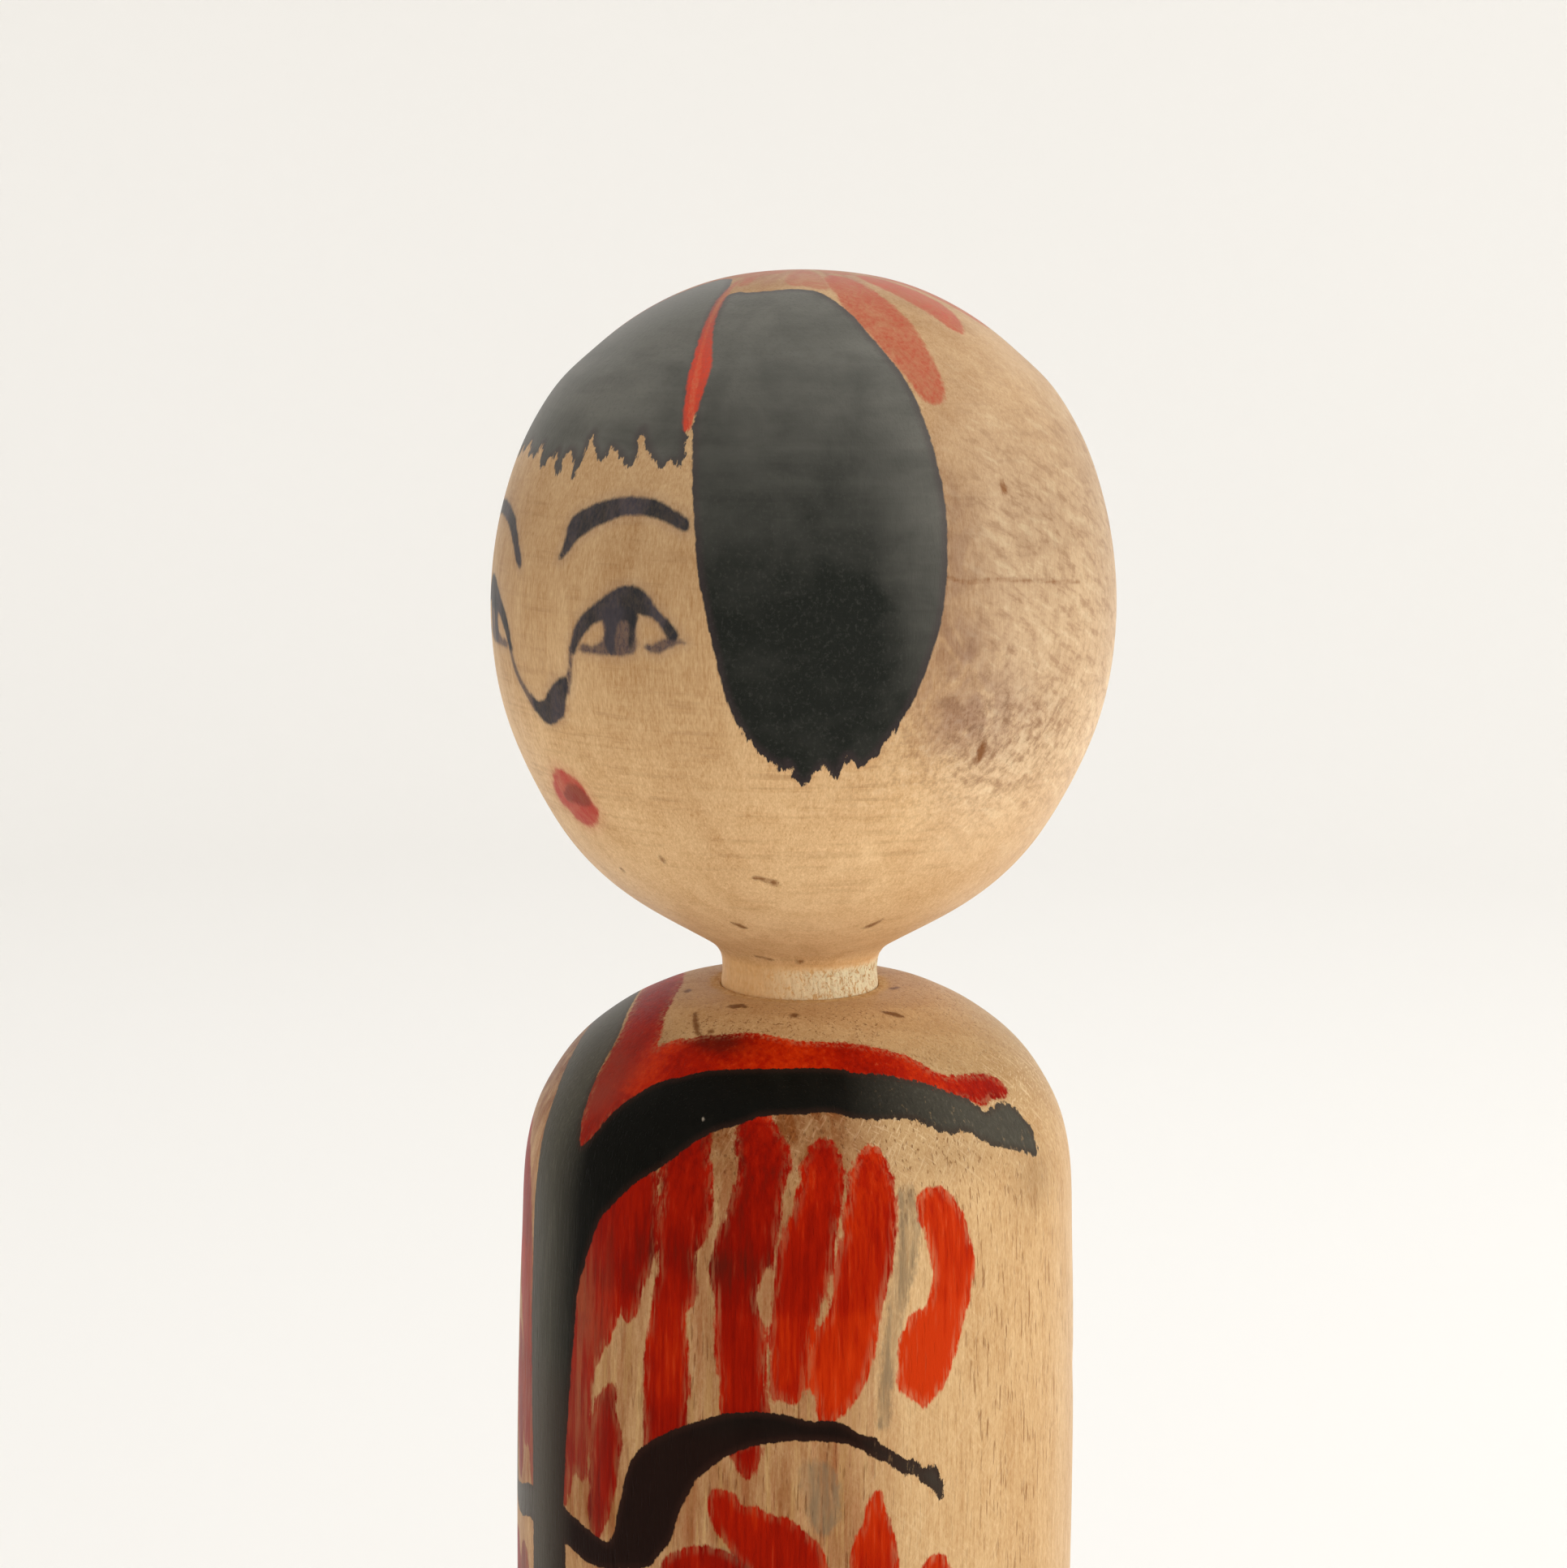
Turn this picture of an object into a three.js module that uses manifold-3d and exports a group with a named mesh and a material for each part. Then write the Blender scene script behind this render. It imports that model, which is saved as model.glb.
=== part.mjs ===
// Kokeshi doll: a turned wooden body and a turned wooden head that rotates in it.
// Units are millimetres. +Z is up, the doll looks along -Y, and the origin is the
// centre of the face it stands on.
//
// The doll is two pieces of wood. The body is one turning with a blind socket bored
// into its top, narrow at the mouth and wider below. The head is one turning too:
// the ball, the short bare neck under it, and a tenon that swells out below the
// socket's mouth. The tenon is forced in once, and after that the wider socket keeps
// the head on while letting it turn.
import * as THREE from "three";
import { mergeVertices } from "three/addons/utils/BufferGeometryUtils.js";
import Module from "manifold-3d";

// ---------------------------------------------------------------- driving dimensions
const HEIGHT = 240; // floor to crown
const HEAD_R = 31.6; // widest radius of the head
const NECK_R = 8.05; // bare neck
const BODY_R = 29.3; // straight lower part of the body
const SHOULDER_Z = 167.3; // top of the body, where the neck enters it
const HEAD_BASE_Z = 170.6; // underside of the head, where the neck begins

const MOUTH_CLEARANCE = 0.08; // radial, neck in socket mouth: a turning fit
const MOUTH_LENGTH = 6.2; // narrow part of the socket
const TENON_R = 8.62; // swollen end of the tenon, wider than the socket's mouth
const UNDERCUT_R = 8.8; // socket below its mouth
const SOCKET_FLOOR_Z = 146.4;
const TENON_END_Z = 147.2;

const RIM_R = 27.7; // outer radius of the standing rim
const RIM_CHAMFER = 1.6; // rounding between rim and side
const RECESS_R = 19.5; // shallow turned recess under the base
const RECESS_DEPTH = 0.9;
const CENTRE_HOLE_R = 1.5; // mark of the lathe's centre
const CENTRE_HOLE_DEPTH = 3.4;
const CLAW_COUNT = 4; // marks of the lathe chuck's claws
const CLAW_RING_R = 11.5;
const CLAW_LENGTH = 5.2;
const CLAW_WIDTH = 1.1;
const CLAW_DEPTH = 2.0;

const SEGMENTS = 48; // facets around each turning
const UP = [HEAD_R / 31.6, BODY_R / 29.3]; // keeps the listed curves on the radii above

// ---------------------------------------------------------------- turned profiles
// Each list runs [radius, height] and is passed through by one smooth curve.
const HEAD_CURVE = [
  [0.0, HEIGHT],
  [5.0, 239.7],
  [9.5, 238.8],
  [13.2, 237.4],
  [16.2, 235.8],
  [19.1, 233.8],
  [21.6, 231.7],
  [24.4, 229.05],
  [26.5, 226.1],
  [28.15, 223.0],
  [29.65, 219.0],
  [30.7, 215.0],
  [31.35, 210.9],
  [31.6, 206.4],
  [31.42, 202.5],
  [30.95, 199.0],
  [29.95, 195.0],
  [28.4, 191.0],
  [26.4, 187.0],
  [23.9, 183.0],
  [20.25, 179.0],
  [16.4, 176.1],
  [12.7, 173.9],
  [10.1, 172.4],
  [8.75, 171.4],
  [8.2, HEAD_BASE_Z],
];
const SHOULDER_CURVE = [
  [8.9, SHOULDER_Z],
  [10.6, 167.2],
  [12.2, 167.0],
  [14.1, 166.6],
  [15.8, 165.9],
  [17.8, 164.9],
  [20.1, 163.4],
  [22.1, 161.8],
  [23.9, 159.9],
  [25.6, 157.4],
  [26.9, 154.9],
  [27.75, 152.3],
  [28.25, 149.6],
  [28.5, 146.5],
  [28.65, 142.0],
  [28.85, 137.0],
  [29.05, 130.0],
  [29.22, 122.0],
  [BODY_R, 114.0],
];

function smooth(points, count, k) {
  const curve = new THREE.SplineCurve(
    points.map(([r, z]) => new THREE.Vector2(r * k, z)),
  );
  return curve.getPoints(count);
}
const at = (r, z) => new THREE.Vector2(r, z);

// A lathe turns about Y, so it is stood up along Z. The profile runs from the bottom
// of the axis to the top of it, which leaves the faces pointing out.
function turned(profile) {
  return new THREE.LatheGeometry(profile, SEGMENTS).rotateX(Math.PI / 2);
}

// ---------------------------------------------------------------- booleans
const wasm = await Module();
wasm.setup();

function solid(geometry) {
  const g = geometry.index ? geometry.clone() : geometry;
  g.deleteAttribute("normal");
  g.deleteAttribute("uv");
  const m = mergeVertices(g, 1e-4);
  return new wasm.Manifold(
    new wasm.Mesh({
      numProp: 3,
      vertProperties: new Float32Array(m.attributes.position.array),
      triVerts: new Uint32Array(m.index.array),
    }),
  );
}

function geometryOf(manifold) {
  const m = manifold.getMesh();
  const g = new THREE.BufferGeometry()
    .setAttribute(
      "position",
      new THREE.BufferAttribute(new Float32Array(m.vertProperties), 3),
    )
    .setIndex(new THREE.BufferAttribute(new Uint32Array(m.triVerts), 1));
  g.computeVertexNormals();
  return g;
}

// ---------------------------------------------------------------- head, neck and tenon
const headOutline = smooth(HEAD_CURVE, 32, UP[0]);
headOutline[0].x = 0;
const headProfile = [
  at(0, TENON_END_Z),
  at(TENON_R - 1.3, TENON_END_Z),
  at(TENON_R, TENON_END_Z + 1.6),
  at(TENON_R, SHOULDER_Z - MOUTH_LENGTH - 2.6),
  at(NECK_R, SHOULDER_Z - MOUTH_LENGTH - 0.4),
  at(NECK_R, SHOULDER_Z + 0.6),
  at(NECK_R - 0.06, HEAD_BASE_Z - 1.4),
  ...headOutline.reverse(),
];

// ---------------------------------------------------------------- body
const mouthR = NECK_R + MOUTH_CLEARANCE;
const shoulder = smooth(SHOULDER_CURVE, 24, UP[1]);
const bodyProfile = [
  at(0, RECESS_DEPTH),
  at(RECESS_R - 1.2, RECESS_DEPTH),
  at(RECESS_R, 0),
  at(RIM_R, 0),
  at(BODY_R - 0.55, RIM_CHAMFER * 0.4),
  at(BODY_R - 0.2, RIM_CHAMFER),
  at(BODY_R, RIM_CHAMFER + 3),
  at(BODY_R, 40),
  at(BODY_R, 78),
  ...shoulder.reverse(),
  at(mouthR + 0.35, SHOULDER_Z - 0.05),
  at(mouthR, SHOULDER_Z - 0.4),
  at(mouthR, SHOULDER_Z - MOUTH_LENGTH),
  at(UNDERCUT_R, SHOULDER_Z - MOUTH_LENGTH - 2.2),
  at(UNDERCUT_R, SOCKET_FLOOR_Z + 0.8),
  at(UNDERCUT_R - 1.0, SOCKET_FLOOR_Z),
  at(0, SOCKET_FLOOR_Z),
];

// The marks that the lathe leaves in the base: a cone from its centre and a ring of
// wedge-shaped bites from its claws.
let bodySolid = solid(turned(bodyProfile));
const centre = new THREE.ConeGeometry(
  CENTRE_HOLE_R,
  CENTRE_HOLE_DEPTH + RECESS_DEPTH,
  16,
)
  .rotateX(Math.PI / 2)
  .translate(0, 0, RECESS_DEPTH + CENTRE_HOLE_DEPTH / 2 - 0.3);
bodySolid = bodySolid.subtract(solid(centre));
for (let i = 0; i < CLAW_COUNT; i++) {
  const wedge = new THREE.Shape()
    .moveTo(-CLAW_WIDTH / 2, -0.4)
    .lineTo(CLAW_WIDTH / 2, -0.4)
    .lineTo(0.12, CLAW_DEPTH)
    .lineTo(-0.12, CLAW_DEPTH)
    .closePath();
  const claw = new THREE.ExtrudeGeometry(wedge, {
    depth: CLAW_LENGTH,
    bevelEnabled: false,
  })
    .translate(0, 0, -CLAW_LENGTH / 2)
    .rotateX(Math.PI / 2)
    .rotateZ(Math.PI / 2)
    .translate(CLAW_RING_R, 0, RECESS_DEPTH)
    .rotateZ((i / CLAW_COUNT) * 2 * Math.PI + 0.3);
  bodySolid = bodySolid.subtract(solid(claw));
}

// ---------------------------------------------------------------- meshes
const headWood = new THREE.MeshStandardMaterial({
  name: "head_wood",
  color: 0xcaa777,
  roughness: 0.5,
  metalness: 0,
});
const bodyWood = new THREE.MeshStandardMaterial({
  name: "body_wood",
  color: 0xd3aa78,
  roughness: 0.5,
  metalness: 0,
});

const head = new THREE.Mesh(geometryOf(solid(turned(headProfile))), headWood);
head.name = "head";
const body = new THREE.Mesh(geometryOf(bodySolid), bodyWood);
body.name = "body";

const doll = new THREE.Group();
doll.name = "kokeshi_doll";
const turning = new THREE.Group(); // turns about +Z in the body's socket
turning.name = "turning_head";
turning.add(head);
doll.add(body, turning);

export default doll;
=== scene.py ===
"""Kokeshi doll: dense turned meshes with a brush-painted face, hair and robe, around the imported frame.

Painted shapes are outlines in surface coordinates: the angle in degrees around the doll from its
front (positive to its own left), and the distance in mm along the turned profile, from the crown
for the head and from the neck for the body. Each outline becomes a signed distance on the mesh,
and the materials turn those distances into edges with brush and grain in them.
"""

import math

import bpy
import numpy as np
from mathutils import Matrix


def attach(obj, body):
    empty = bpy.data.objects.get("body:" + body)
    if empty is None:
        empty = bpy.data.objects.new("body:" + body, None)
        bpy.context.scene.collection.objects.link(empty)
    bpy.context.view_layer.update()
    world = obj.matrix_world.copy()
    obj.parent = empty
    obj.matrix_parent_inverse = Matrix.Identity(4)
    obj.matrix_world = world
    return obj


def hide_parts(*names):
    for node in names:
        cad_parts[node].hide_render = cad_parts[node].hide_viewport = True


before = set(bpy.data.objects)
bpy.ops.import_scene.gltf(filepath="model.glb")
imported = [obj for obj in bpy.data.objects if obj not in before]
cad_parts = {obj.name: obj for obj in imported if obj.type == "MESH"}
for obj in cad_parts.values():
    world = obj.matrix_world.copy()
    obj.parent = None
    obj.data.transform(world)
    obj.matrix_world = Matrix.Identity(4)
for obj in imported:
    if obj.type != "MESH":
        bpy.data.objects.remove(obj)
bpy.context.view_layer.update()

MM = 0.001


# ------------------------------------------------------------------ turned profiles (mm)
HEAD_CURVE = [
    (0.0, 240.0), (5.0, 239.7), (9.5, 238.8), (13.2, 237.4), (16.2, 235.8), (19.1, 233.8),
    (21.6, 231.7), (24.4, 229.05), (26.5, 226.1), (28.15, 223.0), (29.65, 219.0), (30.7, 215.0),
    (31.35, 210.9), (31.6, 206.4), (31.42, 202.5), (30.95, 199.0), (29.95, 195.0), (28.4, 191.0),
    (26.4, 187.0), (23.9, 183.0), (20.25, 179.0), (16.4, 176.1), (12.7, 173.9), (10.1, 172.4),
    (8.75, 171.4), (8.2, 170.6),
]
BODY_CURVE = [
    (8.9, 167.3), (10.6, 167.2), (12.2, 167.0), (14.1, 166.6), (15.8, 165.9), (17.8, 164.9),
    (20.1, 163.4), (22.1, 161.8), (23.9, 159.9), (25.6, 157.4), (26.9, 154.9), (27.75, 152.3),
    (28.25, 149.6), (28.5, 146.5), (28.65, 142.0), (28.85, 137.0), (29.05, 130.0), (29.22, 122.0),
    (29.3, 114.0), (29.3, 95.0), (29.3, 70.0), (29.3, 45.0), (29.3, 20.0), (29.3, 4.6), (29.1, 1.6),
]


def spline(t, y, flat_start=False):
    """Natural cubic spline through (t, y), as a function. flat_start gives it a level start."""
    t, y = np.asarray(t, float), np.asarray(y, float)
    n = len(t)
    h = np.diff(t)
    a = np.zeros((n, n))
    b = np.zeros(n)
    for i in range(1, n - 1):
        a[i, i - 1], a[i, i], a[i, i + 1] = h[i - 1], 2 * (h[i - 1] + h[i]), h[i]
        b[i] = 6 * ((y[i + 1] - y[i]) / h[i] - (y[i] - y[i - 1]) / h[i - 1])
    if flat_start:
        a[0, 0], a[0, 1], b[0] = 2 * h[0], h[0], 6 * (y[1] - y[0]) / h[0]
    else:
        a[0, 0] = 1
    a[-1, -1] = 1
    m = np.linalg.solve(a, b)

    def f(x):
        x = np.asarray(x, float)
        i = np.clip(np.searchsorted(t, x, side="right") - 1, 0, n - 2)
        u, v = t[i + 1] - x, x - t[i]
        return (m[i] * u**3 + m[i + 1] * v**3) / (6 * h[i]) + (y[i] / h[i] - m[i] * h[i] / 6) * u + (
            y[i + 1] / h[i] - m[i + 1] * h[i] / 6
        ) * v

    return f


class Profile:
    """A turned outline, walked by s, the distance along it in mm."""

    def __init__(self, points):
        p = np.array(points, float)
        t = np.r_[0, np.cumsum(np.hypot(*np.diff(p, axis=0).T))]
        u = np.linspace(0, t[-1], 4000)
        self.r = spline(t, p[:, 0])(u)
        self.z = spline(t, p[:, 1], flat_start=p[0, 0] == 0)(u)
        self.s = np.r_[0, np.cumsum(np.hypot(np.diff(self.r), np.diff(self.z)))]
        self.length = float(self.s[-1])

    def at(self, s):
        return np.interp(s, self.s, self.r), np.interp(s, self.s, self.z)


HEAD, BODY = Profile(HEAD_CURVE), Profile(BODY_CURVE)


# ------------------------------------------------------------------ painted shapes
def smooth_loop(points, step=0.3, k=28.0):
    """A closed outline through the points, rounded like a brush edge, with a point every step mm or so. k is a rough radius, to weigh degrees against mm."""
    p = np.array(points, float)
    out = []
    n = len(p)
    for i in range(n):
        a, b, c, d = p[i - 1], p[i], p[(i + 1) % n], p[(i + 2) % n]
        gap = math.hypot(math.radians(c[0] - b[0]) * k, c[1] - b[1])
        m = max(1, int(math.ceil(gap / step)))
        u = (np.arange(m) / m)[:, None]
        out.append(
            b + 0.5 * u * (c - a) * 0.9 + u**2 * (-3 * b + 3 * c - 0.9 * (c - a) - 0.45 * (d - b))
            + u**3 * (2 * b - 2 * c + 0.45 * (c - a) + 0.45 * (d - b))
        )
    return np.concatenate(out)


def stroke(points, k=29.0):
    """An outline from a brush's path: (degrees, mm along the profile, width in mm) for each point."""
    p = np.array(points, float)
    x = np.radians(p[:, 0]) * k
    dx, dy = np.gradient(x), np.gradient(p[:, 1])
    n = np.hypot(dx, dy) + 1e-9
    nx, ny = -dy / n, dx / n
    w = p[:, 2] / 2
    one = np.stack([np.degrees((x + nx * w) / k), p[:, 1] + ny * w], -1)
    two = np.stack([np.degrees((x - nx * w) / k), p[:, 1] - ny * w], -1)
    return [tuple(v) for v in one] + [tuple(v) for v in two[::-1]]


def on_surface(profile, phi, s):
    r, z = profile.at(s)
    a = np.radians(phi)
    return np.stack([r * np.sin(a), -r * np.cos(a), z + 0 * a], -1)


def signed(profile, loop, phi, s, xyz, reach=1.8):
    """Signed distance in mm, positive inside the outline, for vertices at (phi, s); -reach beyond it."""
    out = np.full(len(phi), -reach)
    c = loop[:, 0].mean()
    f = (phi - c + 180) % 360 - 180 + c
    r = np.maximum(profile.at(s)[0], 3.0)
    pad = np.degrees(reach / r)
    near = (
        (s > loop[:, 1].min() - reach) & (s < loop[:, 1].max() + reach)
        & (f > loop[:, 0].min() - pad) & (f < loop[:, 0].max() + pad)
    )
    ids = np.flatnonzero(near)
    if not len(ids):
        return out
    edge = on_surface(profile, loop[:, 0], loop[:, 1])
    a3, b3 = edge, np.roll(edge, -1, axis=0)
    a2, b2 = loop, np.roll(loop, -1, axis=0)
    low, high = np.minimum(a2[:, 1], b2[:, 1]), np.maximum(a2[:, 1], b2[:, 1])
    for lo in range(0, len(ids), 700):
        part = ids[lo : lo + 700]
        x, y = f[part][:, None], s[part][:, None]
        by = (high > y.min() - reach) & (low < y.max() + reach)
        p3, q3, p2, q2 = a3[by], b3[by], a2[by], b2[by]
        if not len(p3):
            continue
        q = xyz[part][:, None, :]
        ab = (q3 - p3)[None]
        t = np.clip(((q - p3) * ab).sum(-1) / np.maximum((ab**2).sum(-1), 1e-9), 0, 1)
        d = np.sqrt((((q - p3) - t[..., None] * ab) ** 2).sum(-1)).min(1)
        cross = (p2[:, 1] > y) != (q2[:, 1] > y)
        with np.errstate(divide="ignore", invalid="ignore"):
            at = p2[:, 0] + (y - p2[:, 1]) / (q2[:, 1] - p2[:, 1]) * (q2[:, 0] - p2[:, 0])
        inside = (cross & (x < at)).sum(1) % 2 == 1
        out[part] = np.clip(np.where(inside, d, -d), -reach, reach)
    return out


def mirror(points, about=0.0, down=0.0, wobble=0.0, seed=1, stretch=1.0):
    """The same shape on the doll's other side, moved down and redrawn with a slightly different hand."""
    p = np.array(points, float)[:, :2]
    rng = np.random.RandomState(seed)
    a, b, c = rng.uniform(0, 6.28, 3)
    s = p[:, 1]
    phi = about + (about - p[:, 0]) * stretch + wobble * (np.sin(s / 5.5 + a) + 0.5 * np.sin(s / 2.3 + b))
    s2 = s + down + wobble * 0.35 * np.sin(p[:, 0] / 4.0 + c)
    return [tuple(v) for v in np.stack([phi, s2], -1)[::-1]]


# Head: black hair
LOCK = [
    (28, 13.0), (34, 12.7), (40, 12.4), (46, 12.1), (52, 12.1), (58, 12.4), (62, 13.3), (66, 15.0), (70, 17.6),
    (72.2, 20), (74.6, 22.5), (76.6, 25), (78.1, 28), (79.3, 32), (80.0, 36), (80.3, 40), (79.7, 45), (78.4, 50),
    (76.5, 53.5), (74.5, 56.5), (72, 59.5), (69.5, 61.4), (68.2, 62.5), (66.8, 63.4), (65.4, 63.9), (64.2, 63.7),
    (63.0, 62.9), (62.2, 63.3), (61.3, 64.6), (60.6, 65.1), (59.8, 64.7), (59.0, 63.9), (58.2, 64.0), (56.8, 65.0),
    (55.6, 65.7), (54.4, 65.8), (53.4, 65.0), (52.6, 64.0), (52.0, 63.7), (51.5, 64.4), (50.8, 64.5), (49.9, 63.8),
    (47.8, 62.8), (46.1, 61.9), (44.4, 60.6), (42.5, 58.5), (41, 56), (39.5, 52.3), (38, 49), (36.7, 46),
    (35.8, 42.7), (34.9, 40), (34, 37.3), (33, 34), (31.9, 31.2), (30.8, 28.5), (30.2, 26.6), (29.0, 24.8),
    (27.4, 22.8), (25.6, 20.4), (23.6, 17.8), (21.6, 15.6), (19.8, 13.8), (23, 12.9),
]
FRINGE = [
    (-14, 9.4), (-7, 9.0), (0, 9.2), (7, 10.2), (14, 12.0), (18.6, 15.2), (22.2, 18.4), (24.9, 21.5), (27.0, 24.8),
    (28.6, 28.0), (30.0, 31.0), (30.9, 33.3), (31.1, 35.0), (30.6, 36.2), (29.8, 36.0), (28.8, 35.6), (27.4, 36.1),
    (26.2, 35.9), (24.6, 35.2), (23.0, 34.2), (21.6, 33.2), (20.8, 32.4), (20.2, 33.4), (20.9, 34.8), (20.8, 35.9),
    (20.2, 36.3), (19.0, 35.9), (17.0, 35.2), (15.2, 34.6), (14.2, 34.4), (13.6, 35.0), (13.0, 35.8), (12.0, 35.9),
    (11.0, 35.3), (9.8, 34.6), (8.5, 33.8), (7.7, 33.1), (7.2, 33.7), (7.1, 35.2), (6.9, 36.6), (6.4, 37.8),
    (5.8, 37.9), (5.2, 37.1), (4.6, 35.9), (3.8, 35.2), (2.6, 35.0), (1.6, 35.4), (1.0, 36.4), (0.3, 37.5),
    (-0.4, 37.2), (-0.9, 36.0), (-1.5, 35.2), (-2.2, 35.3), (-3.0, 36.0), (-4.0, 35.9), (-4.6, 36.1), (-5.4, 36.9),
    (-6.2, 36.6), (-7.0, 36.9), (-7.9, 36.5), (-8.6, 35.4), (-9.4, 34.6), (-10.2, 34.7), (-10.8, 35.6), (-11.8, 36.2),
    (-12.8, 35.8), (-14.0, 35.9), (-15.4, 36.1), (-16.6, 35.2), (-17.6, 34.5), (-18.8, 34.7), (-20.2, 35.5),
    (-21.6, 35.9), (-22.8, 35.3), (-24.0, 35.2), (-25.4, 36.2), (-26.6, 36.7), (-27.6, 35.9), (-28.8, 35.5),
    (-30.2, 36.3), (-31.4, 36.5), (-32.6, 35.4), (-34.0, 35.2), (-35.4, 36.3), (-36.8, 36.0), (-38.2, 36.4), (-38.6, 34.2),
    (-37.6, 31.4), (-36.0, 28.4), (-34.2, 25.0), (-32.0, 21.6), (-29.4, 18.4), (-26.2, 15.2), (-21.0, 11.4),
]
# Head: red strokes on the crown and beside the hair. Each has a tone: 0 dull and thin, 1 bright and wet.
PARTING = stroke([(10.5, 9.6, 0.5), (13.6, 11.0, 0.8), (16.6, 12.8, 0.95), (19.4, 15.0, 0.95), (22.2, 17.5, 0.95), (24.8, 20.2, 1.1),
                  (27.2, 22.8, 1.5), (28.9, 25.2, 1.75), (29.8, 27.5, 1.5), (30.3, 29.6, 1.1), (30.6, 32.4, 0.4)], 20)
PETALS = [
    ([(68.6, 16.6), (72.4, 19.9), (75.6, 23.3), (78.4, 26.4), (80.0, 28.7), (82.4, 29.5), (85.2, 29.2), (87.0, 27.2),
      (88.0, 24.4), (88.9, 21), (89.2, 18), (88.4, 14.5), (86.5, 10.5), (82, 7.6), (74, 7.0), (66, 8.6), (67, 12.5)], 0.62),
    ([(93, 9.5), (97, 13.0), (101, 16.2), (104.2, 19.4), (107.2, 20.3), (111, 19.4), (115.5, 17.9), (119.5, 15.4),
      (119, 11.5), (114, 8.4), (106, 6.8), (98, 7.2)], 0.72),
    ([(122.5, 8.2), (125.5, 12.4), (128, 15.8), (131.5, 18.6), (136, 19.6), (140.5, 18.2), (143.5, 14.8), (144, 10.8),
      (139, 7.4), (130, 6.0)], 0.6),
    ([(149, 7.4), (152, 12.0), (156, 16.6), (161, 20.0), (167, 21.4), (173, 20.4), (177, 16.6), (178.5, 11.5),
      (173, 7.2), (160, 5.6)], 0.66),
]
# The crown strokes take low tones, paler and pinker: painted sheen on the top of the head.
CROWN = [
    ([(0, 1.0), (60, 1.2), (120, 1.0), (180, 1.0), (240, 1.0), (300, 1.2)], 0.3),
    ([(36, 2.2), (50, 2.6), (62, 4.2), (66, 8.0), (65.5, 11.6), (61, 11.9), (54, 11.2), (47, 11.0), (42, 9.4), (38, 6.0)], 0.34),
    ([(-24, 2.2), (-8, 2.6), (6, 4.0), (15, 6.4), (20, 9.0), (22, 11.0), (17, 11.0), (11, 9.0), (0, 8.0), (-10, 7.4),
      (-22, 6.8), (-30, 5.2)], 0.3),
    ([(78, 2.0), (96, 2.4), (104, 5.0), (98, 6.6), (86, 6.4), (76, 5.2)], 0.4),
    ([(118, 2.0), (140, 2.4), (148, 4.6), (136, 5.6), (122, 5.6)], 0.36),
]
# Head: the face, drawn in thinner ink
BROW = [
    (6.4, 45.7), (6.9, 44.9), (7.5, 43.9), (7.7, 42.5), (9.0, 41.3), (12, 40.5), (16, 39.7), (20, 39.3), (24, 39.2),
    (27.5, 39.4), (30, 40.0), (32.6, 40.6), (34.1, 41.2), (34.1, 42.0), (33.1, 42.2), (31.5, 41.8), (28, 41.1),
    (25, 40.9), (22, 40.9), (19, 41.3), (16, 42.0), (13, 42.8), (10.8, 43.6), (9.2, 44.5), (7.8, 45.4),
]
BROW_RIGHT = [
    (-6.0, 47.0), (-6.4, 45.9), (-8.0, 44.9), (-10, 43.5), (-12.5, 42.3), (-16, 41.5), (-20, 41.0), (-25, 40.9), (-30, 41.2),
    (-34, 42.0), (-36.4, 42.9), (-36.2, 43.6), (-33.6, 43.1), (-30, 42.6), (-25, 42.3), (-20, 42.5), (-16, 43.0), (-13.5, 43.7),
    (-10.5, 45.0), (-8.3, 46.4),
]
LID = [
    (10.3, 54.1), (10.9, 53.1), (11.6, 52.0), (13.5, 50.6), (16, 49.6), (18.4, 48.7), (20.6, 47.9), (23, 47.5),
    (25.6, 47.6), (27.6, 48.4), (29.2, 49.4), (31.2, 50.4), (32.8, 51.3), (33.4, 51.9), (32.4, 52.3), (31.3, 52.1),
    (30.2, 51.2), (28.6, 50.4), (26.2, 50.1), (24.6, 50.2), (23.8, 50.7), (20.6, 50.8), (18.0, 50.9), (15.8, 51.5),
    (13.6, 52.6), (12.2, 53.7), (11.3, 54.4),
]
IRIS = [(18.2, 50.0), (18.7, 52.0), (18.2, 53.4), (20.0, 54.1), (22.4, 54.0), (24.8, 53.6), (25.2, 52.0), (25.0, 50.0), (22, 49.6)]
PUPIL = [(18.4, 49.8), (19.0, 51.4), (18.7, 52.8), (19.2, 53.8), (20.8, 53.9), (21.0, 52.2), (21.6, 51.0), (23.4, 50.6), (23.9, 51.8), (23.7, 53.2), (24.6, 53.2), (24.9, 51.6), (25.2, 49.8)]
LOWER_LID = [
    (12.6, 53.8), (14.0, 53.3), (15.6, 53.6), (17.2, 53.1), (18.6, 53.0), (20.5, 53.5), (23.0, 53.4), (24.4, 53.2), (24.2, 53.8),
    (21.5, 54.1), (18.4, 54.1), (15.6, 54.1), (13.4, 54.1),
]
EYE_CORNER = [(26.8, 53.0), (28.4, 52.8), (30.2, 52.3), (32.2, 52.0), (34.6, 52.4), (33.0, 52.6), (31.2, 53.1), (29.4, 53.6), (27.6, 53.4)]
NOSE_TIP = [
    (-3.4, 59.0), (-1.8, 59.6), (0.0, 59.6), (1.8, 59.2), (3.6, 58.2), (5.6, 57.4), (7.4, 56.9), (8.9, 56.7), (9.1, 57.6),
    (8.2, 58.8), (7.6, 59.8), (6.6, 60.8), (4.8, 61.3), (3.0, 61.7), (0.8, 61.8), (-0.8, 61.4), (-2.2, 60.9), (-2.9, 60.1),
]
NOSE_LEFT = stroke([(-10.9, 54.0, 0.5), (-9.9, 55.6, 0.5), (-8.6, 57.0, 0.55), (-7.0, 58.0, 0.6), (-5.2, 58.9, 0.65), (-3.4, 59.8, 0.8), (-2.2, 60.6, 0.8)], 30)
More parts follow.
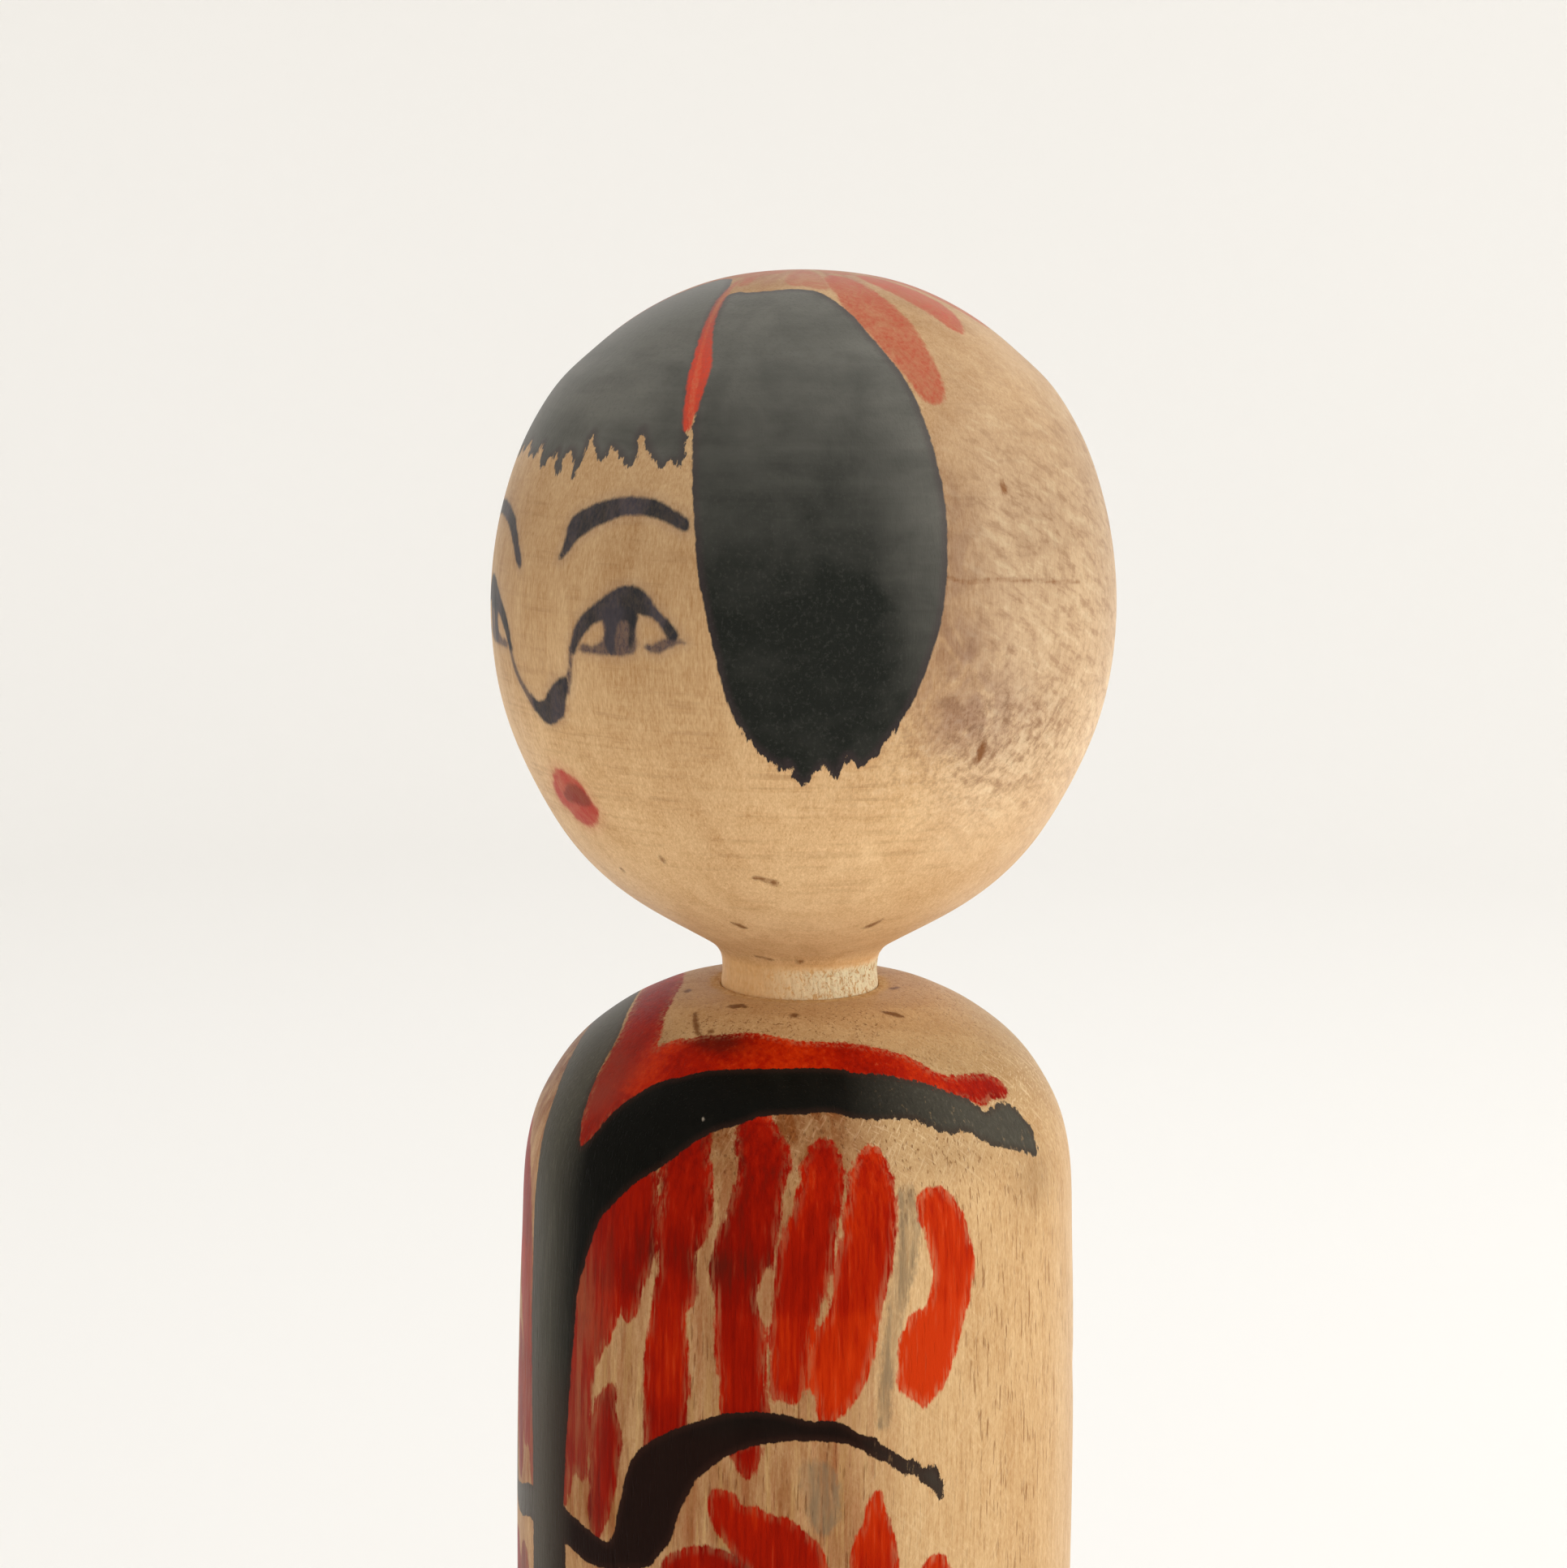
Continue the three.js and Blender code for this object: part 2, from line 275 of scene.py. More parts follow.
NOSE_RIGHT = stroke([(10.9, 53.8, 0.4), (10.5, 54.9, 0.4), (10.0, 56.1, 0.45), (9.2, 57.2, 0.7), (8.4, 58.2, 0.8)], 30)
LIPS = [
    (-6.9, 70.1), (-5.6, 68.7), (-3.6, 67.6), (-1.2, 66.8), (1.6, 66.9), (4.6, 67.5), (6.2, 68.4), (7.2, 69.6), (7.9, 70.9),
    (7.0, 71.9), (5.0, 72.6), (2.5, 73.1), (0.0, 73.1), (-2.6, 72.6), (-3.8, 71.6), (-6.2, 71.2),
]
LIP_LINE = [(-3.2, 69.9), (-1.0, 69.0), (1.2, 68.3), (4.2, 68.2), (6.2, 69.0), (6.9, 69.8), (6.2, 70.4), (3.2, 70.7), (0.2, 70.5), (-2.2, 70.6)]
# Head: brown flecks and knots in the wood
HEAD_FLECKS = [
    stroke([(43.6, 77.5, 0.35), (45.4, 77.5, 0.5), (47.2, 77.8, 0.55), (48.8, 78.1, 0.8), (49.4, 78.3, 0.3)], 25),
    stroke([(21.2, 75.5, 0.3), (21.6, 75.9, 0.6), (21.9, 76.3, 0.3)], 27),
    stroke([(31.6, 86.0, 0.25), (33.4, 86.3, 0.7), (34.8, 86.9, 0.9), (35.8, 87.1, 0.3)], 18),
    stroke([(76.8, 87.2, 0.25), (78.4, 86.5, 0.7), (80.2, 85.6, 0.5), (81.2, 85.0, 0.2)], 18),
    stroke([(89.3, 61.9, 0.25), (89.0, 62.8, 0.8), (88.6, 63.8, 0.9), (88.2, 64.5, 0.3)], 30),
    stroke([(4.0, 78.5, 0.25), (4.8, 78.7, 0.55), (5.4, 78.9, 0.2)], 25),
    stroke([(93.9, 37.3, 0.3), (94.1, 38.1, 0.8), (94.3, 38.8, 0.3)], 31),
    stroke([(52.0, 96.2, 0.2), (54.6, 96.3, 0.5), (57.0, 96.2, 0.2)], 8.5),
    stroke([(24.0, 95.7, 0.15), (30.0, 95.9, 0.3), (37.0, 96.1, 0.15)], 8.5),
    stroke([(-41, 84.6, 0.3), (-38, 85.0, 0.7), (-36, 85.3, 0.2)], 20),
    stroke([(151, 71.0, 0.3), (152, 72.4, 0.8), (152.6, 73.6, 0.3)], 28),
    stroke([(79.4, 46.3, 0.18), (84, 46.8, 0.12), (90, 46.7, 0.15), (97, 47.0, 0.15), (106, 47.4, 0.1), (112, 47.6, 0.05)], 31),
    stroke([(-118, 48.0, 0.2), (-117.6, 49.4, 0.6), (-117.4, 50.8, 0.2)], 31),
]

# Body: red collar, black bands, red stripes. Tones as above.
COLLAR = [
    (-112, 17.6), (-106, 15.6), (-99, 13.4), (-90, 10.9), (-80, 8.3), (-68, 5.9), (-56, 4.3), (-45, 3.6), (-38, 3.5),
    (-30, 3.7), (-22, 4.2), (-15, 4.9), (-9, 5.8), (-4, 7.2), (1, 8.5), (5, 9.8), (8, 11.3), (9.5, 12.0), (11, 11.2),
    (14, 10.5), (18, 10.0), (22, 9.3), (28, 8.7), (33, 8.3), (38, 8.0), (44, 8.1), (50, 8.5), (55, 8.8), (62, 9.0),
    (70, 9.3), (76, 9.9), (82, 10.8), (87, 11.8), (91, 13.5), (95, 14.8), (100, 15.2), (106, 15.5), (110, 16.0),
    (112.6, 17.0), (113, 18.1), (110, 18.4), (106, 18.2), (102, 18.5), (99, 17.8), (95, 17.1), (90, 16.2), (84, 15.1),
    (78, 14.2), (70, 13.8), (60, 13.4), (50, 13.5), (40, 13.8), (33, 14.1), (28, 14.5), (24, 15.3), (19, 16.1),
    (15, 17.3), (11, 18.9), (8, 20.5), (6, 22.1), (4.3, 23.4), (2.4, 24.3), (0.6, 22.9), (-0.6, 20.5), (-2.1, 18.5),
    (-3.4, 16.5), (-5.2, 14.4), (-7.6, 12.7), (-12, 11.0), (-16, 10.0), (-20, 9.3), (-27, 8.4), (-35, 8.0), (-45, 8.0),
    (-56, 8.7), (-68, 10.4), (-79, 12.6), (-88, 14.7), (-97, 16.9), (-104, 18.6), (-110, 19.2),
]
BAND = [
    (-116, 23.8), (-114, 21.6), (-109, 20.6), (-103, 20.2), (-96, 18.3), (-88, 15.9), (-79, 13.5), (-68, 11.2),
    (-56, 9.4), (-45, 8.6), (-35, 8.6), (-28, 9.1), (-22, 9.8), (-16, 10.8), (-12, 11.8), (-9, 12.9), (-7, 14.1),
    (-5.4, 15.4), (-4.0, 17.0), (-2.5, 19.0), (-0.8, 21.2), (1.0, 23.1), (2.6, 24.0), (4.5, 23.2), (6.3, 21.9),
    (8.3, 20.1), (11.5, 18.2), (15.2, 16.6), (19, 15.4), (24, 14.5), (28, 13.7), (33, 13.2), (40, 12.8), (50, 12.5),
    (60, 12.4), (67, 12.7), (69.5, 13.1), (78, 13.6), (84, 14.6), (90, 15.6), (95, 16.9), (99, 18.1), (101.5, 19.2),
    (104, 19.3), (108, 19.0), (111, 19.3), (113.4, 20.6), (115.2, 22.5), (115.4, 24.2), (113.8, 25.0), (110, 24.2),
    (104, 23.3), (100, 22.5), (97, 21.6), (94, 20.6), (90.5, 20.6), (87, 20.1), (84, 19.2), (81, 18.5), (75, 18.4),
    (70, 18.2), (67, 18.0), (64, 17.5), (60, 17.3), (55, 17.5), (50, 17.6), (45.6, 17.9), (42, 18.7), (38, 19.3),
    (35, 20.0), (32, 21.0), (29, 22.3), (25, 24.0), (21, 25.4), (18, 26.8), (15, 28.4), (12, 30.0), (10, 32.0),
    (8.5, 34.0), (7, 36.0), (5.8, 38.0), (5.2, 40.0), (4.9, 43.0), (4.3, 46.0), (3.8, 49.0), (3.3, 52.0), (2.8, 56.0),
    (2.3, 60.0), (2.8, 64.0), (3.2, 70.0), (3.4, 80.0), (3.0, 92.0), (2.4, 104.0), (2.6, 118.0), (2.0, 132.0),
    (1.2, 146.0), (0.6, 158.0), (-0.4, 168.0), (-3.0, 171.6), (-8.0, 172.2), (-12.6, 171.0), (-13.6, 164.0),
    (-13.0, 150.0), (-12.4, 136.0), (-11.4, 120.0), (-11.8, 104.0), (-11.2, 90.0), (-10.8, 78.0), (-10.6, 68.0),
    (-11.0, 60.0), (-11.4, 56.0), (-12.2, 52.0), (-12.8, 48.0), (-13.5, 44.0), (-13.8, 40.0), (-14.1, 35.0),
    (-13.9, 31.0), (-13.7, 28.0), (-14.8, 25.0), (-16.4, 22.2), (-18.6, 20.2), (-22, 18.3), (-26, 16.6), (-31, 15.3),
    (-38, 14.4), (-46, 14.2), (-56, 14.8), (-66, 16.2), (-76, 18.2), (-86, 20.4), (-95, 22.4), (-104, 24.0),
    (-111, 25.4), (-115, 25.2),
]
ARC2 = [
    (-3, 61.0), (2, 61.2), (5, 61.4), (9, 62.0), (13, 62.6), (15.8, 62.8), (17.2, 61.8), (18.3, 59.5), (19.5, 57.0),
    (20.4, 55.0), (21.9, 53.3), (24, 52.0), (27, 50.8), (30, 49.8), (34, 48.8), (38, 47.9), (42, 47.2), (47, 46.9),
    (52, 47.0), (55, 47.4), (58, 47.7), (62, 47.7), (65, 48.4), (67, 49.2), (69.5, 49.5), (71.2, 50.3), (74, 51.4),
    (76.4, 52.1), (78, 52.4), (80, 53.3), (81.8, 53.0), (83.4, 53.9), (84.5, 55.3), (84.3, 56.4), (83.3, 56.5),
    (82.2, 55.6), (80.2, 54.8), (78.6, 53.9), (76.2, 53.5), (73.5, 52.4), (71, 51.8), (68.5, 50.9), (66, 50.2),
    (63, 49.7), (58, 49.5), (53, 49.5), (50, 49.8), (46.5, 50.2), (43, 51.0), (40, 52.0), (37.5, 53.1), (35.5, 54.2),
    (34, 55.6), (32.6, 57.0), (31.5, 58.6), (30.8, 60.0), (29.5, 61.3), (28, 62.4), (25.5, 63.9), (21, 64.6),
    (15, 65.4), (10, 65.5), (6, 64.9), (2, 64.6), (-3, 64.4),
]
STRIPES = [
    ([(24.5, 24.3), (25.3, 26), (25.8, 28), (26, 30), (25.8, 32), (24.6, 34), (23.2, 35.5), (22.5, 37), (21.8, 38.3),
      (20.8, 39.2), (19.6, 39.6), (18.2, 38.8), (16.9, 39.4), (16.1, 40.8), (15.2, 42.0), (13.8, 42.8), (12.8, 44.2), (11.7, 45.0),
      (10.9, 46.6), (10.4, 48.2), (10.1, 50), (9.9, 53), (9.5, 55), (8.8, 57.0), (7.8, 57.2), (6.5, 56.4), (5.2, 57.0),
      (4.5, 58.5), (3.2, 60.4), (1.0, 60.4), (1.0, 57), (1.6, 53), (2.3, 49), (2.9, 46), (3.6, 43), (3.9, 40),
      (4.4, 38), (5.4, 35.6), (6.9, 33.4), (8.4, 31.4), (10.6, 29.4), (14.0, 27.4), (17.4, 25.8), (20.8, 24.4)], 0.44),
    ([(16.5, 46.2), (17.3, 47.2), (17.0, 49), (18.3, 50.5), (18.8, 52), (18.3, 53.5), (17.8, 55), (17.2, 57), (16.2, 59),
      (15.0, 60.5), (13.9, 62), (12.6, 62.6), (11.5, 61.8), (10.5, 60), (11, 58), (10.8, 56), (11.2, 54), (10.9, 52),
      (11.6, 50), (12.6, 48.4), (14.4, 47.2)], 0.34),
    ([(26.0, 23.2), (27.0, 26.5), (27.3, 28.5), (26.6, 30), (27, 32), (27.5, 33), (27, 34.5), (26, 36), (25.6, 38),
      (25, 40), (24.5, 42), (24.3, 44), (24.4, 46), (24.4, 48), (24.6, 50), (25, 52.8), (28, 52.2), (31, 51.2),
      (33, 50.5), (33.3, 48), (33.5, 46.5), (33.8, 45), (33.5, 43), (33.2, 41), (32.5, 39), (32.6, 38), (33, 37.2),
      (34.2, 36.5), (34.8, 35), (34.6, 33), (34.4, 31.8), (35.8, 30.5), (36.6, 29.5), (37.6, 28.5), (37.6, 27),
      (37, 25.5), (36.8, 23.8), (35.8, 22.5), (35.3, 21.3), (35.0, 19.4), (33, 19.8), (30.5, 20.8), (28.5, 21.8)], 0.45),
    ([(42.3, 17.9), (44, 17.3), (47, 17.3), (49, 18.6), (50.8, 19.8), (52.2, 20.8), (52.8, 21.8), (52.6, 23), (51.8, 24.5),
      (51.2, 26), (51, 28), (50.5, 29.5), (50, 31), (48.8, 32.3), (47.4, 33.8), (46.6, 35.5), (47, 36.7), (47.8, 38),
      (48.5, 39), (48.6, 41), (48.2, 43), (48.5, 44.5), (49.2, 45.8), (49.5, 47.0), (48.5, 47.8), (46, 47.8), (43, 47.9),
      (41, 48.0), (40.5, 46.5), (40.4, 44.5), (39.8, 42.5), (39.2, 40.5), (39.2, 38.5), (39.5, 36.5), (38.6, 34.5),
      (37.9, 33), (38.5, 31.5), (39.2, 29.8), (40.8, 28), (41.5, 26.3), (42.2, 25), (42.8, 23.4), (42.4, 22), (41.6, 21),
      (41.5, 19.6)], 0.4),
    ([(42.6, 50.9), (45, 50.2), (47.8, 50.0), (48, 51.2), (47.2, 52.3), (46.2, 53.3), (45, 53.3), (43.8, 52.4)], 0.5),
    ([(56.5, 22), (57.8, 20.8), (60, 20.2), (62, 20.6), (63.2, 21.6), (63.6, 23), (63.6, 24.8), (63.1, 26.5), (62.3, 28),
      (61.8, 29.5), (61.3, 31), (61, 32.5), (60.3, 34), (59.7, 35.2), (58.8, 36.8), (58.2, 38), (57.2, 39.3), (56.6, 41),
      (56.3, 43), (55.8, 44.8), (54.8, 45.6), (53.2, 45.7), (52, 45.2), (51, 45.5), (50.1, 44.5), (50, 43), (50.3, 41),
      (49.7, 39.5), (50.3, 38), (50.6, 36), (50.8, 34), (50.9, 32.5), (51.3, 31), (52.3, 29.5), (53.5, 28), (54.3, 27),
      (54.8, 25.5), (55.8, 24.3), (55.5, 23)], 0.55),
    ([(66, 23.4), (67.5, 22), (69.5, 21.1), (71.3, 21.3), (72.8, 22.4), (73.8, 24), (74.3, 26), (74.2, 28), (73.8, 30),
      (73.2, 32), (72.4, 34), (71.5, 35.5), (70.8, 37), (70.3, 39), (69.5, 41), (68.8, 42.5), (67.8, 43.8), (66.5, 45),
      (65, 46), (63.5, 46.9), (61.5, 47.6), (59.5, 47.4), (58.8, 46.5), (59, 45.3), (57.8, 44.5), (57.2, 42.8),
      (57.4, 41), (58.2, 39.5), (58.8, 38.5), (60.5, 37.8), (61.4, 36.5), (62, 35), (62, 33.5), (62.6, 32), (63, 30.8),
      (64.2, 29.6), (63.9, 28.5), (64.6, 27), (65.2, 25.2)], 0.72),
    ([(79.3, 26.6), (80.4, 26), (82.5, 25.7), (85, 25.9), (87, 26.8), (88.7, 28.2), (90, 30), (91, 31.8), (91.5, 33.5),
      (91, 35.5), (90, 37.3), (88.7, 39.2), (87.5, 41), (86.3, 42.8), (84.5, 44.8), (83, 45.7), (81.8, 46.2),
      (80.5, 47.0), (78.8, 46.4), (77.2, 45.6), (75.5, 45.1), (74.8, 44.3), (75.1, 42.5), (75.3, 41), (75.6, 39.8),
      (76.6, 38.8), (77.6, 37.8), (80, 37.4), (81.2, 36.9), (82, 35.6), (82.3, 34), (82, 32.3), (81.2, 30.8),
      (80.5, 29.3), (79.6, 28.2)], 0.95),
    ([(70.5, 55.1), (71.4, 55.6), (72.2, 57), (73, 58.2), (73.8, 59.6), (74.4, 61), (74.8, 63), (74.7, 67), (74.0, 72),
      (73.0, 77), (71.6, 81.5), (69.6, 83.0), (67.8, 81.0), (66.8, 76), (66.0, 70), (65.6, 64.5), (65.8, 61.5),
      (66.8, 59.6), (68.2, 58), (69, 56.5)], 0.85),
    ([(38.5, 56), (40, 55), (43, 55.4), (44.5, 56.5), (47.5, 56.6), (50, 57.2), (53.5, 57.6), (56, 58.6), (58.5, 59.8),
      (60.4, 61.6), (61.4, 64.5), (61.2, 69), (60.4, 75), (59.4, 81), (57.6, 85.2), (55.2, 85.8), (53.6, 82), (53.0, 75),
      (52.2, 69), (50.0, 65.2), (46, 62.6), (42.6, 60.6), (39.6, 58.6)], 0.62),
    ([(28.6, 63.6), (30, 62.5), (33, 61.6), (37, 61.0), (41, 61.2), (45, 62.2), (47.6, 64.4), (48.4, 69), (47.6, 76),
      (46.6, 83), (44.4, 87.6), (41.6, 88.0), (40.4, 83), (39.8, 76), (38.4, 70.5), (34.4, 67.4), (30, 66.2)], 0.4),
]
# Below that the same hand goes on: two more arcs and their stripes, down to a hem.
ARC3 = stroke([(-3, 102.0, 2.6), (6, 102.2, 3.0), (14, 101.6, 3.6), (20, 98.6, 4.2), (25, 94.4, 4.0), (32, 90.9, 3.4),
               (41, 88.9, 2.9), (51, 88.2, 2.6), (61, 89.0, 2.3), (70, 91.2, 1.9), (78, 94.6, 1.5), (84, 98.6, 1.0), (86.5, 101.0, 0.5)])
ARC4 = stroke([(-3, 143.0, 2.8), (6, 143.4, 3.2), (13, 142.6, 3.8), (19, 139.0, 4.4), (24, 134.6, 4.2), (31, 131.2, 3.5),
               (41, 129.2, 2.9), (52, 128.8, 2.5), (62, 130.0, 2.2), (72, 132.8, 1.8), (80, 136.8, 1.3), (85.5, 141.0, 0.6)])
HEM = stroke([(-3, 170.2, 2.2), (8, 170.6, 2.8), (20, 170.0, 3.0), (34, 170.4, 2.6), (48, 169.9, 2.9), (62, 170.3, 2.5),
              (76, 169.8, 2.2), (88, 169.2, 1.6), (97, 168.0, 0.9)])


def tall(phi, top, foot, width, lean=0.0, tone=0.5, seed=0):
    """One upright brush stroke with a rounded head, an uneven middle and a frayed end."""
    rng = np.random.RandomState(seed)
    n = 14
    u = np.linspace(0, 1, n)
    w = 1.14 * width * np.interp(u, [0, 0.05, 0.2, 0.55, 0.85, 0.96, 1], [0.42, 0.82, 1.05, 0.95, 0.86, 0.60, 0.30])
    w = w * (1 + 0.17 * rng.uniform(-1, 1, n) + 0.08 * np.sin(u * 9 + rng.uniform(0, 6)))
    p = phi + lean * (u - 0.3) + 0.85 * np.sin(u * rng.uniform(3.2, 6.5) + rng.uniform(0, 6)) + 0.45 * rng.uniform(-1, 1, n)
    top, foot = top + rng.uniform(-1.0, 1.2), foot + rng.uniform(-2.0, 1.4)
    return stroke(np.stack([p, top + (foot - top) * u, w], -1)), tone


STRIPES += [
    tall(7.6, 67.5, 98.5, 3.6, 0.8, 0.3, 11),
    tall(16.6, 68.5, 96.5, 3.4, -0.6, 0.42, 12),
    tall(25.2, 68.0, 91.0, 3.2, 0.9, 0.38, 13),
    tall(82.6, 63.5, 89.5, 3.6, -3.0, 0.9, 14),
    tall(8.4, 107.0, 140.0, 3.7, -0.9, 0.34, 21),
    tall(17.4, 105.5, 137.0, 3.5, 1.0, 0.46, 22),
    tall(26.6, 99.5, 131.0, 3.7, -0.8, 0.42, 23),
    tall(36.4, 94.5, 128.4, 4.0, 0.8, 0.5, 24),
    tall(46.6, 92.5, 126.6, 4.1, -1.0, 0.6, 25),
    tall(56.4, 92.8, 126.2, 3.8, -0.6, 0.7, 26),
    tall(66.0, 95.6, 127.0, 3.7, -2.0, 0.78, 27),
    tall(76.8, 101.0, 128.5, 3.5, -3.2, 0.92, 28),
    tall(8.0, 148.5, 167.6, 3.7, 0.6, 0.36, 31),
    tall(17.6, 146.8, 168.0, 3.5, -0.8, 0.48, 32),
    tall(27.2, 140.6, 167.4, 3.8, 0.8, 0.44, 33),
    tall(37.4, 135.8, 167.8, 4.0, 0.5, 0.56, 34),
    tall(47.6, 133.6, 167.0, 3.9, -0.8, 0.64, 35),
    tall(57.8, 133.9, 167.4, 3.8, -1.0, 0.72, 36),
    tall(67.6, 136.8, 166.8, 3.6, -1.6, 0.8, 37),
    tall(78.0, 142.6, 166.4, 3.4, -2.4, 0.92, 38),
]
GREY = [
    [(75.2, 25.4), (77.6, 24.8), (79.0, 27), (79.2, 30), (78.3, 33), (76.4, 36), (75.0, 40), (73.6, 44), (72.8, 48.4),
     (70.6, 48.4), (70.8, 44), (71.8, 40), (72.8, 36), (74.0, 32), (74.8, 29)],
    [(55.5, 52.4), (58, 51.6), (61.5, 52.2), (63.4, 54.5), (63.2, 57.4), (61, 59.0), (58.6, 58.6), (57, 56.4)],
    [(38.6, 61.0), (42.6, 60.9), (46.4, 62.0), (48.2, 63.8), (44.0, 63.8), (40.0, 62.6)],
    [(7.0, 40.6), (9.6, 40.2), (10.2, 42.6), (8.4, 44.2), (6.6, 43.4)],
]
BODY_FLECKS = [
    stroke([(19.5, 3.4, 0.3), (22.0, 3.3, 0.9), (24.4, 2.9, 1.0), (26.6, 2.9, 0.5), (28.4, 3.2, 0.2)], 12),
    stroke([(51.4, 4.1, 0.4), (52.6, 4.3, 0.9), (53.8, 4.5, 0.4)], 13),
    stroke([(92.4, 4.8, 0.3), (95.0, 5.3, 0.55), (97.2, 5.9, 0.6), (98.6, 6.2, 0.25)], 14),
    stroke([(22.6, 8.1, 0.3), (23.6, 8.3, 0.6), (24.4, 8.4, 0.3)], 17),
    stroke([(9.6, 5.9, 0.15), (12.0, 6.6, 0.3), (15.0, 7.5, 0.35), (18.0, 8.4, 0.4), (21.4, 9.2, 0.25)], 15),
    stroke([(-21, 2.8, 0.2), (-18, 3.1, 0.6), (-15.5, 3.3, 0.2)], 11),
    stroke([(128, 0.9, 0.2), (132, 1.1, 0.5), (136, 1.4, 0.2)], 10),
    stroke([(151, 33.0, 0.2), (151.3, 35.0, 0.7), (151.0, 37.0, 0.2)], 29),
    stroke([(-142, 71.0, 0.2), (-141.5, 73.6, 0.8), (-141.8, 76.2, 0.2)], 29),
    stroke([(166, 128.0, 0.2), (166.2, 130.0, 0.6), (166.0, 132.0, 0.2)], 29),
    stroke([(121, 98.0, 0.15), (121.3, 101.0, 0.5), (121.2, 104.0, 0.15)], 29),
]


# ------------------------------------------------------------------ meshes
def lathe(name, rows, phis, shift=None):
    """A closed turned mesh. rows are (r, z, s) from one end of the axis to the other, in mm; the first and last have r 0. Returns the object and each vertex's angle, s and place."""
    rows = np.array(rows, float)
    inner = rows[1:-1]
    n, m = len(inner), len(phis)
    a = np.radians(phis)
    r, z = inner[:, 0][:, None], inner[:, 1][:, None]
    xyz = np.stack([r * np.sin(a), -r * np.cos(a), z + 0 * a], -1).reshape(-1, 3)
    phi = np.tile(phis, n)
    s = np.repeat(inner[:, 2], m)
    xyz = np.concatenate([xyz, [[0, 0, rows[0, 1]], [0, 0, rows[-1, 1]]]])
    phi = np.concatenate([phi, [0, 0]])
    s = np.concatenate([s, [rows[0, 2], rows[-1, 2]]])
    if shift is not None:
        xyz = shift(xyz, phi, s)
    i, j = np.meshgrid(np.arange(n - 1), np.arange(m), indexing="ij")
    k = (j + 1) % m
    quads = np.stack([i * m + j, (i + 1) * m + j, (i + 1) * m + k, i * m + k], -1).reshape(-1, 4)
    j = np.arange(m)
    k = (j + 1) % m
    first, last = n * m, n * m + 1
    tris = np.concatenate([
        np.stack([np.full(m, first), j, k], -1),
        np.stack([np.full(m, last), (n - 1) * m + k, (n - 1) * m + j], -1),
    ])
    faces = [tuple(f) for f in quads.tolist()] + [tuple(f) for f in tris.tolist()]
    me = bpy.data.meshes.new(name)
    me.from_pydata((xyz * MM).tolist(), [], faces)
    me.update()
    v = np.array([xyz[q[0]] for q in quads[:: max(1, len(quads) // 500)]])
    ob = bpy.data.objects.new(name, me)
    bpy.context.scene.collection.objects.link(ob)
    me.polygons.foreach_set("use_smooth", np.ones(len(me.polygons), bool))
    # The faces point out when the signed volume is positive.
    t = np.concatenate([quads[:, [0, 1, 2]], quads[:, [0, 2, 3]], tris])
    vol = np.einsum("ij,ij->i", xyz[t[:, 0]], np.cross(xyz[t[:, 1]], xyz[t[:, 2]])).sum()
    if vol < 0:
        me.flip_normals()
    me.update()
    return ob, phi, s, xyz


def angles(fine, coarse, half):
    """Angles around the doll: a step of fine degrees within half of the front, and coarse behind."""
    a = np.arange(-half, half, fine)
    b = np.arange(half, 360 - half - coarse * 0.5, coarse)
    out = np.concatenate([a, b])
    return (out + 180) % 360 - 180


def attribute(ob, name, values):
    at = ob.data.attributes.new(name, "FLOAT", "POINT")
    at.data.foreach_set("value", np.asarray(values, np.float32))


def paint(profile, shapes, phi, s, xyz, reach=1.8):
    """The largest signed distance over several outlines, and the tone of the shape it comes from."""
    best = np.full(len(phi), -reach)
    tone = np.full(len(phi), 0.5)
    for item in shapes:
        points, value = item if isinstance(item, tuple) else (item, 0.5)
        d = signed(profile, smooth_loop(points), phi, s, xyz, reach)
        take = d > best
        best[take], tone[take] = d[take], value
    return best, tone


def bump_field(phi, s, seed, scale_phi, scale_s, terms=24):
    """A smooth seeded wobble over the surface, about -1 to 1, periodic around the doll."""
    rng = np.random.RandomState(seed)
    out = np.zeros(len(phi))
    a = np.radians(phi)
    for _ in range(terms):
        kp = rng.randint(1, max(2, int(scale_phi)))
        ks = rng.uniform(0.2, 1.0) * scale_s
        out += np.sin(kp * a + ks * s + rng.uniform(0, 6.28)) * rng.uniform(0.4, 1.0)
    return out / (0.7 * math.sqrt(terms / 2) * 2)


# Head rows: crown, ball, underside, rough neck, tenon
head_s = np.concatenate([np.arange(0.4, 9.0, 0.55), np.arange(9.0, 75.0, 0.345), np.arange(75.0, 94.0, 0.5), np.arange(94.0, HEAD.length, 0.3)])
rows = [(0.0, 240.0, 0.0)] + [(float(r), float(z), float(q)) for q, r, z in zip(head_s, *HEAD.at(head_s))]
for z, r in [(170.35, 8.14), (170.1, 8.08), (169.8, 8.03), (169.5, 8.0), (169.2, 7.99), (168.9, 7.99), (168.6, 8.0), (168.3, 8.02),
             (168.0, 8.05), (167.75, 8.08), (167.5, 8.1), (167.25, 8.1), (167.0, 8.08), (166.0, 8.05), (163.5, 8.05), (161.0, 8.05),
             (160.7, 8.06), (159.6, 8.34), (158.5, 8.62), (158.0, 8.62), (153.0, 8.62), (148.8, 8.62), (148.2, 8.3), (147.2, 7.32), (147.2, 4.0)]:
    rows.append((r, z, HEAD.length + 171 - z))
rows.append((0.0, 147.2, HEAD.length + 30))


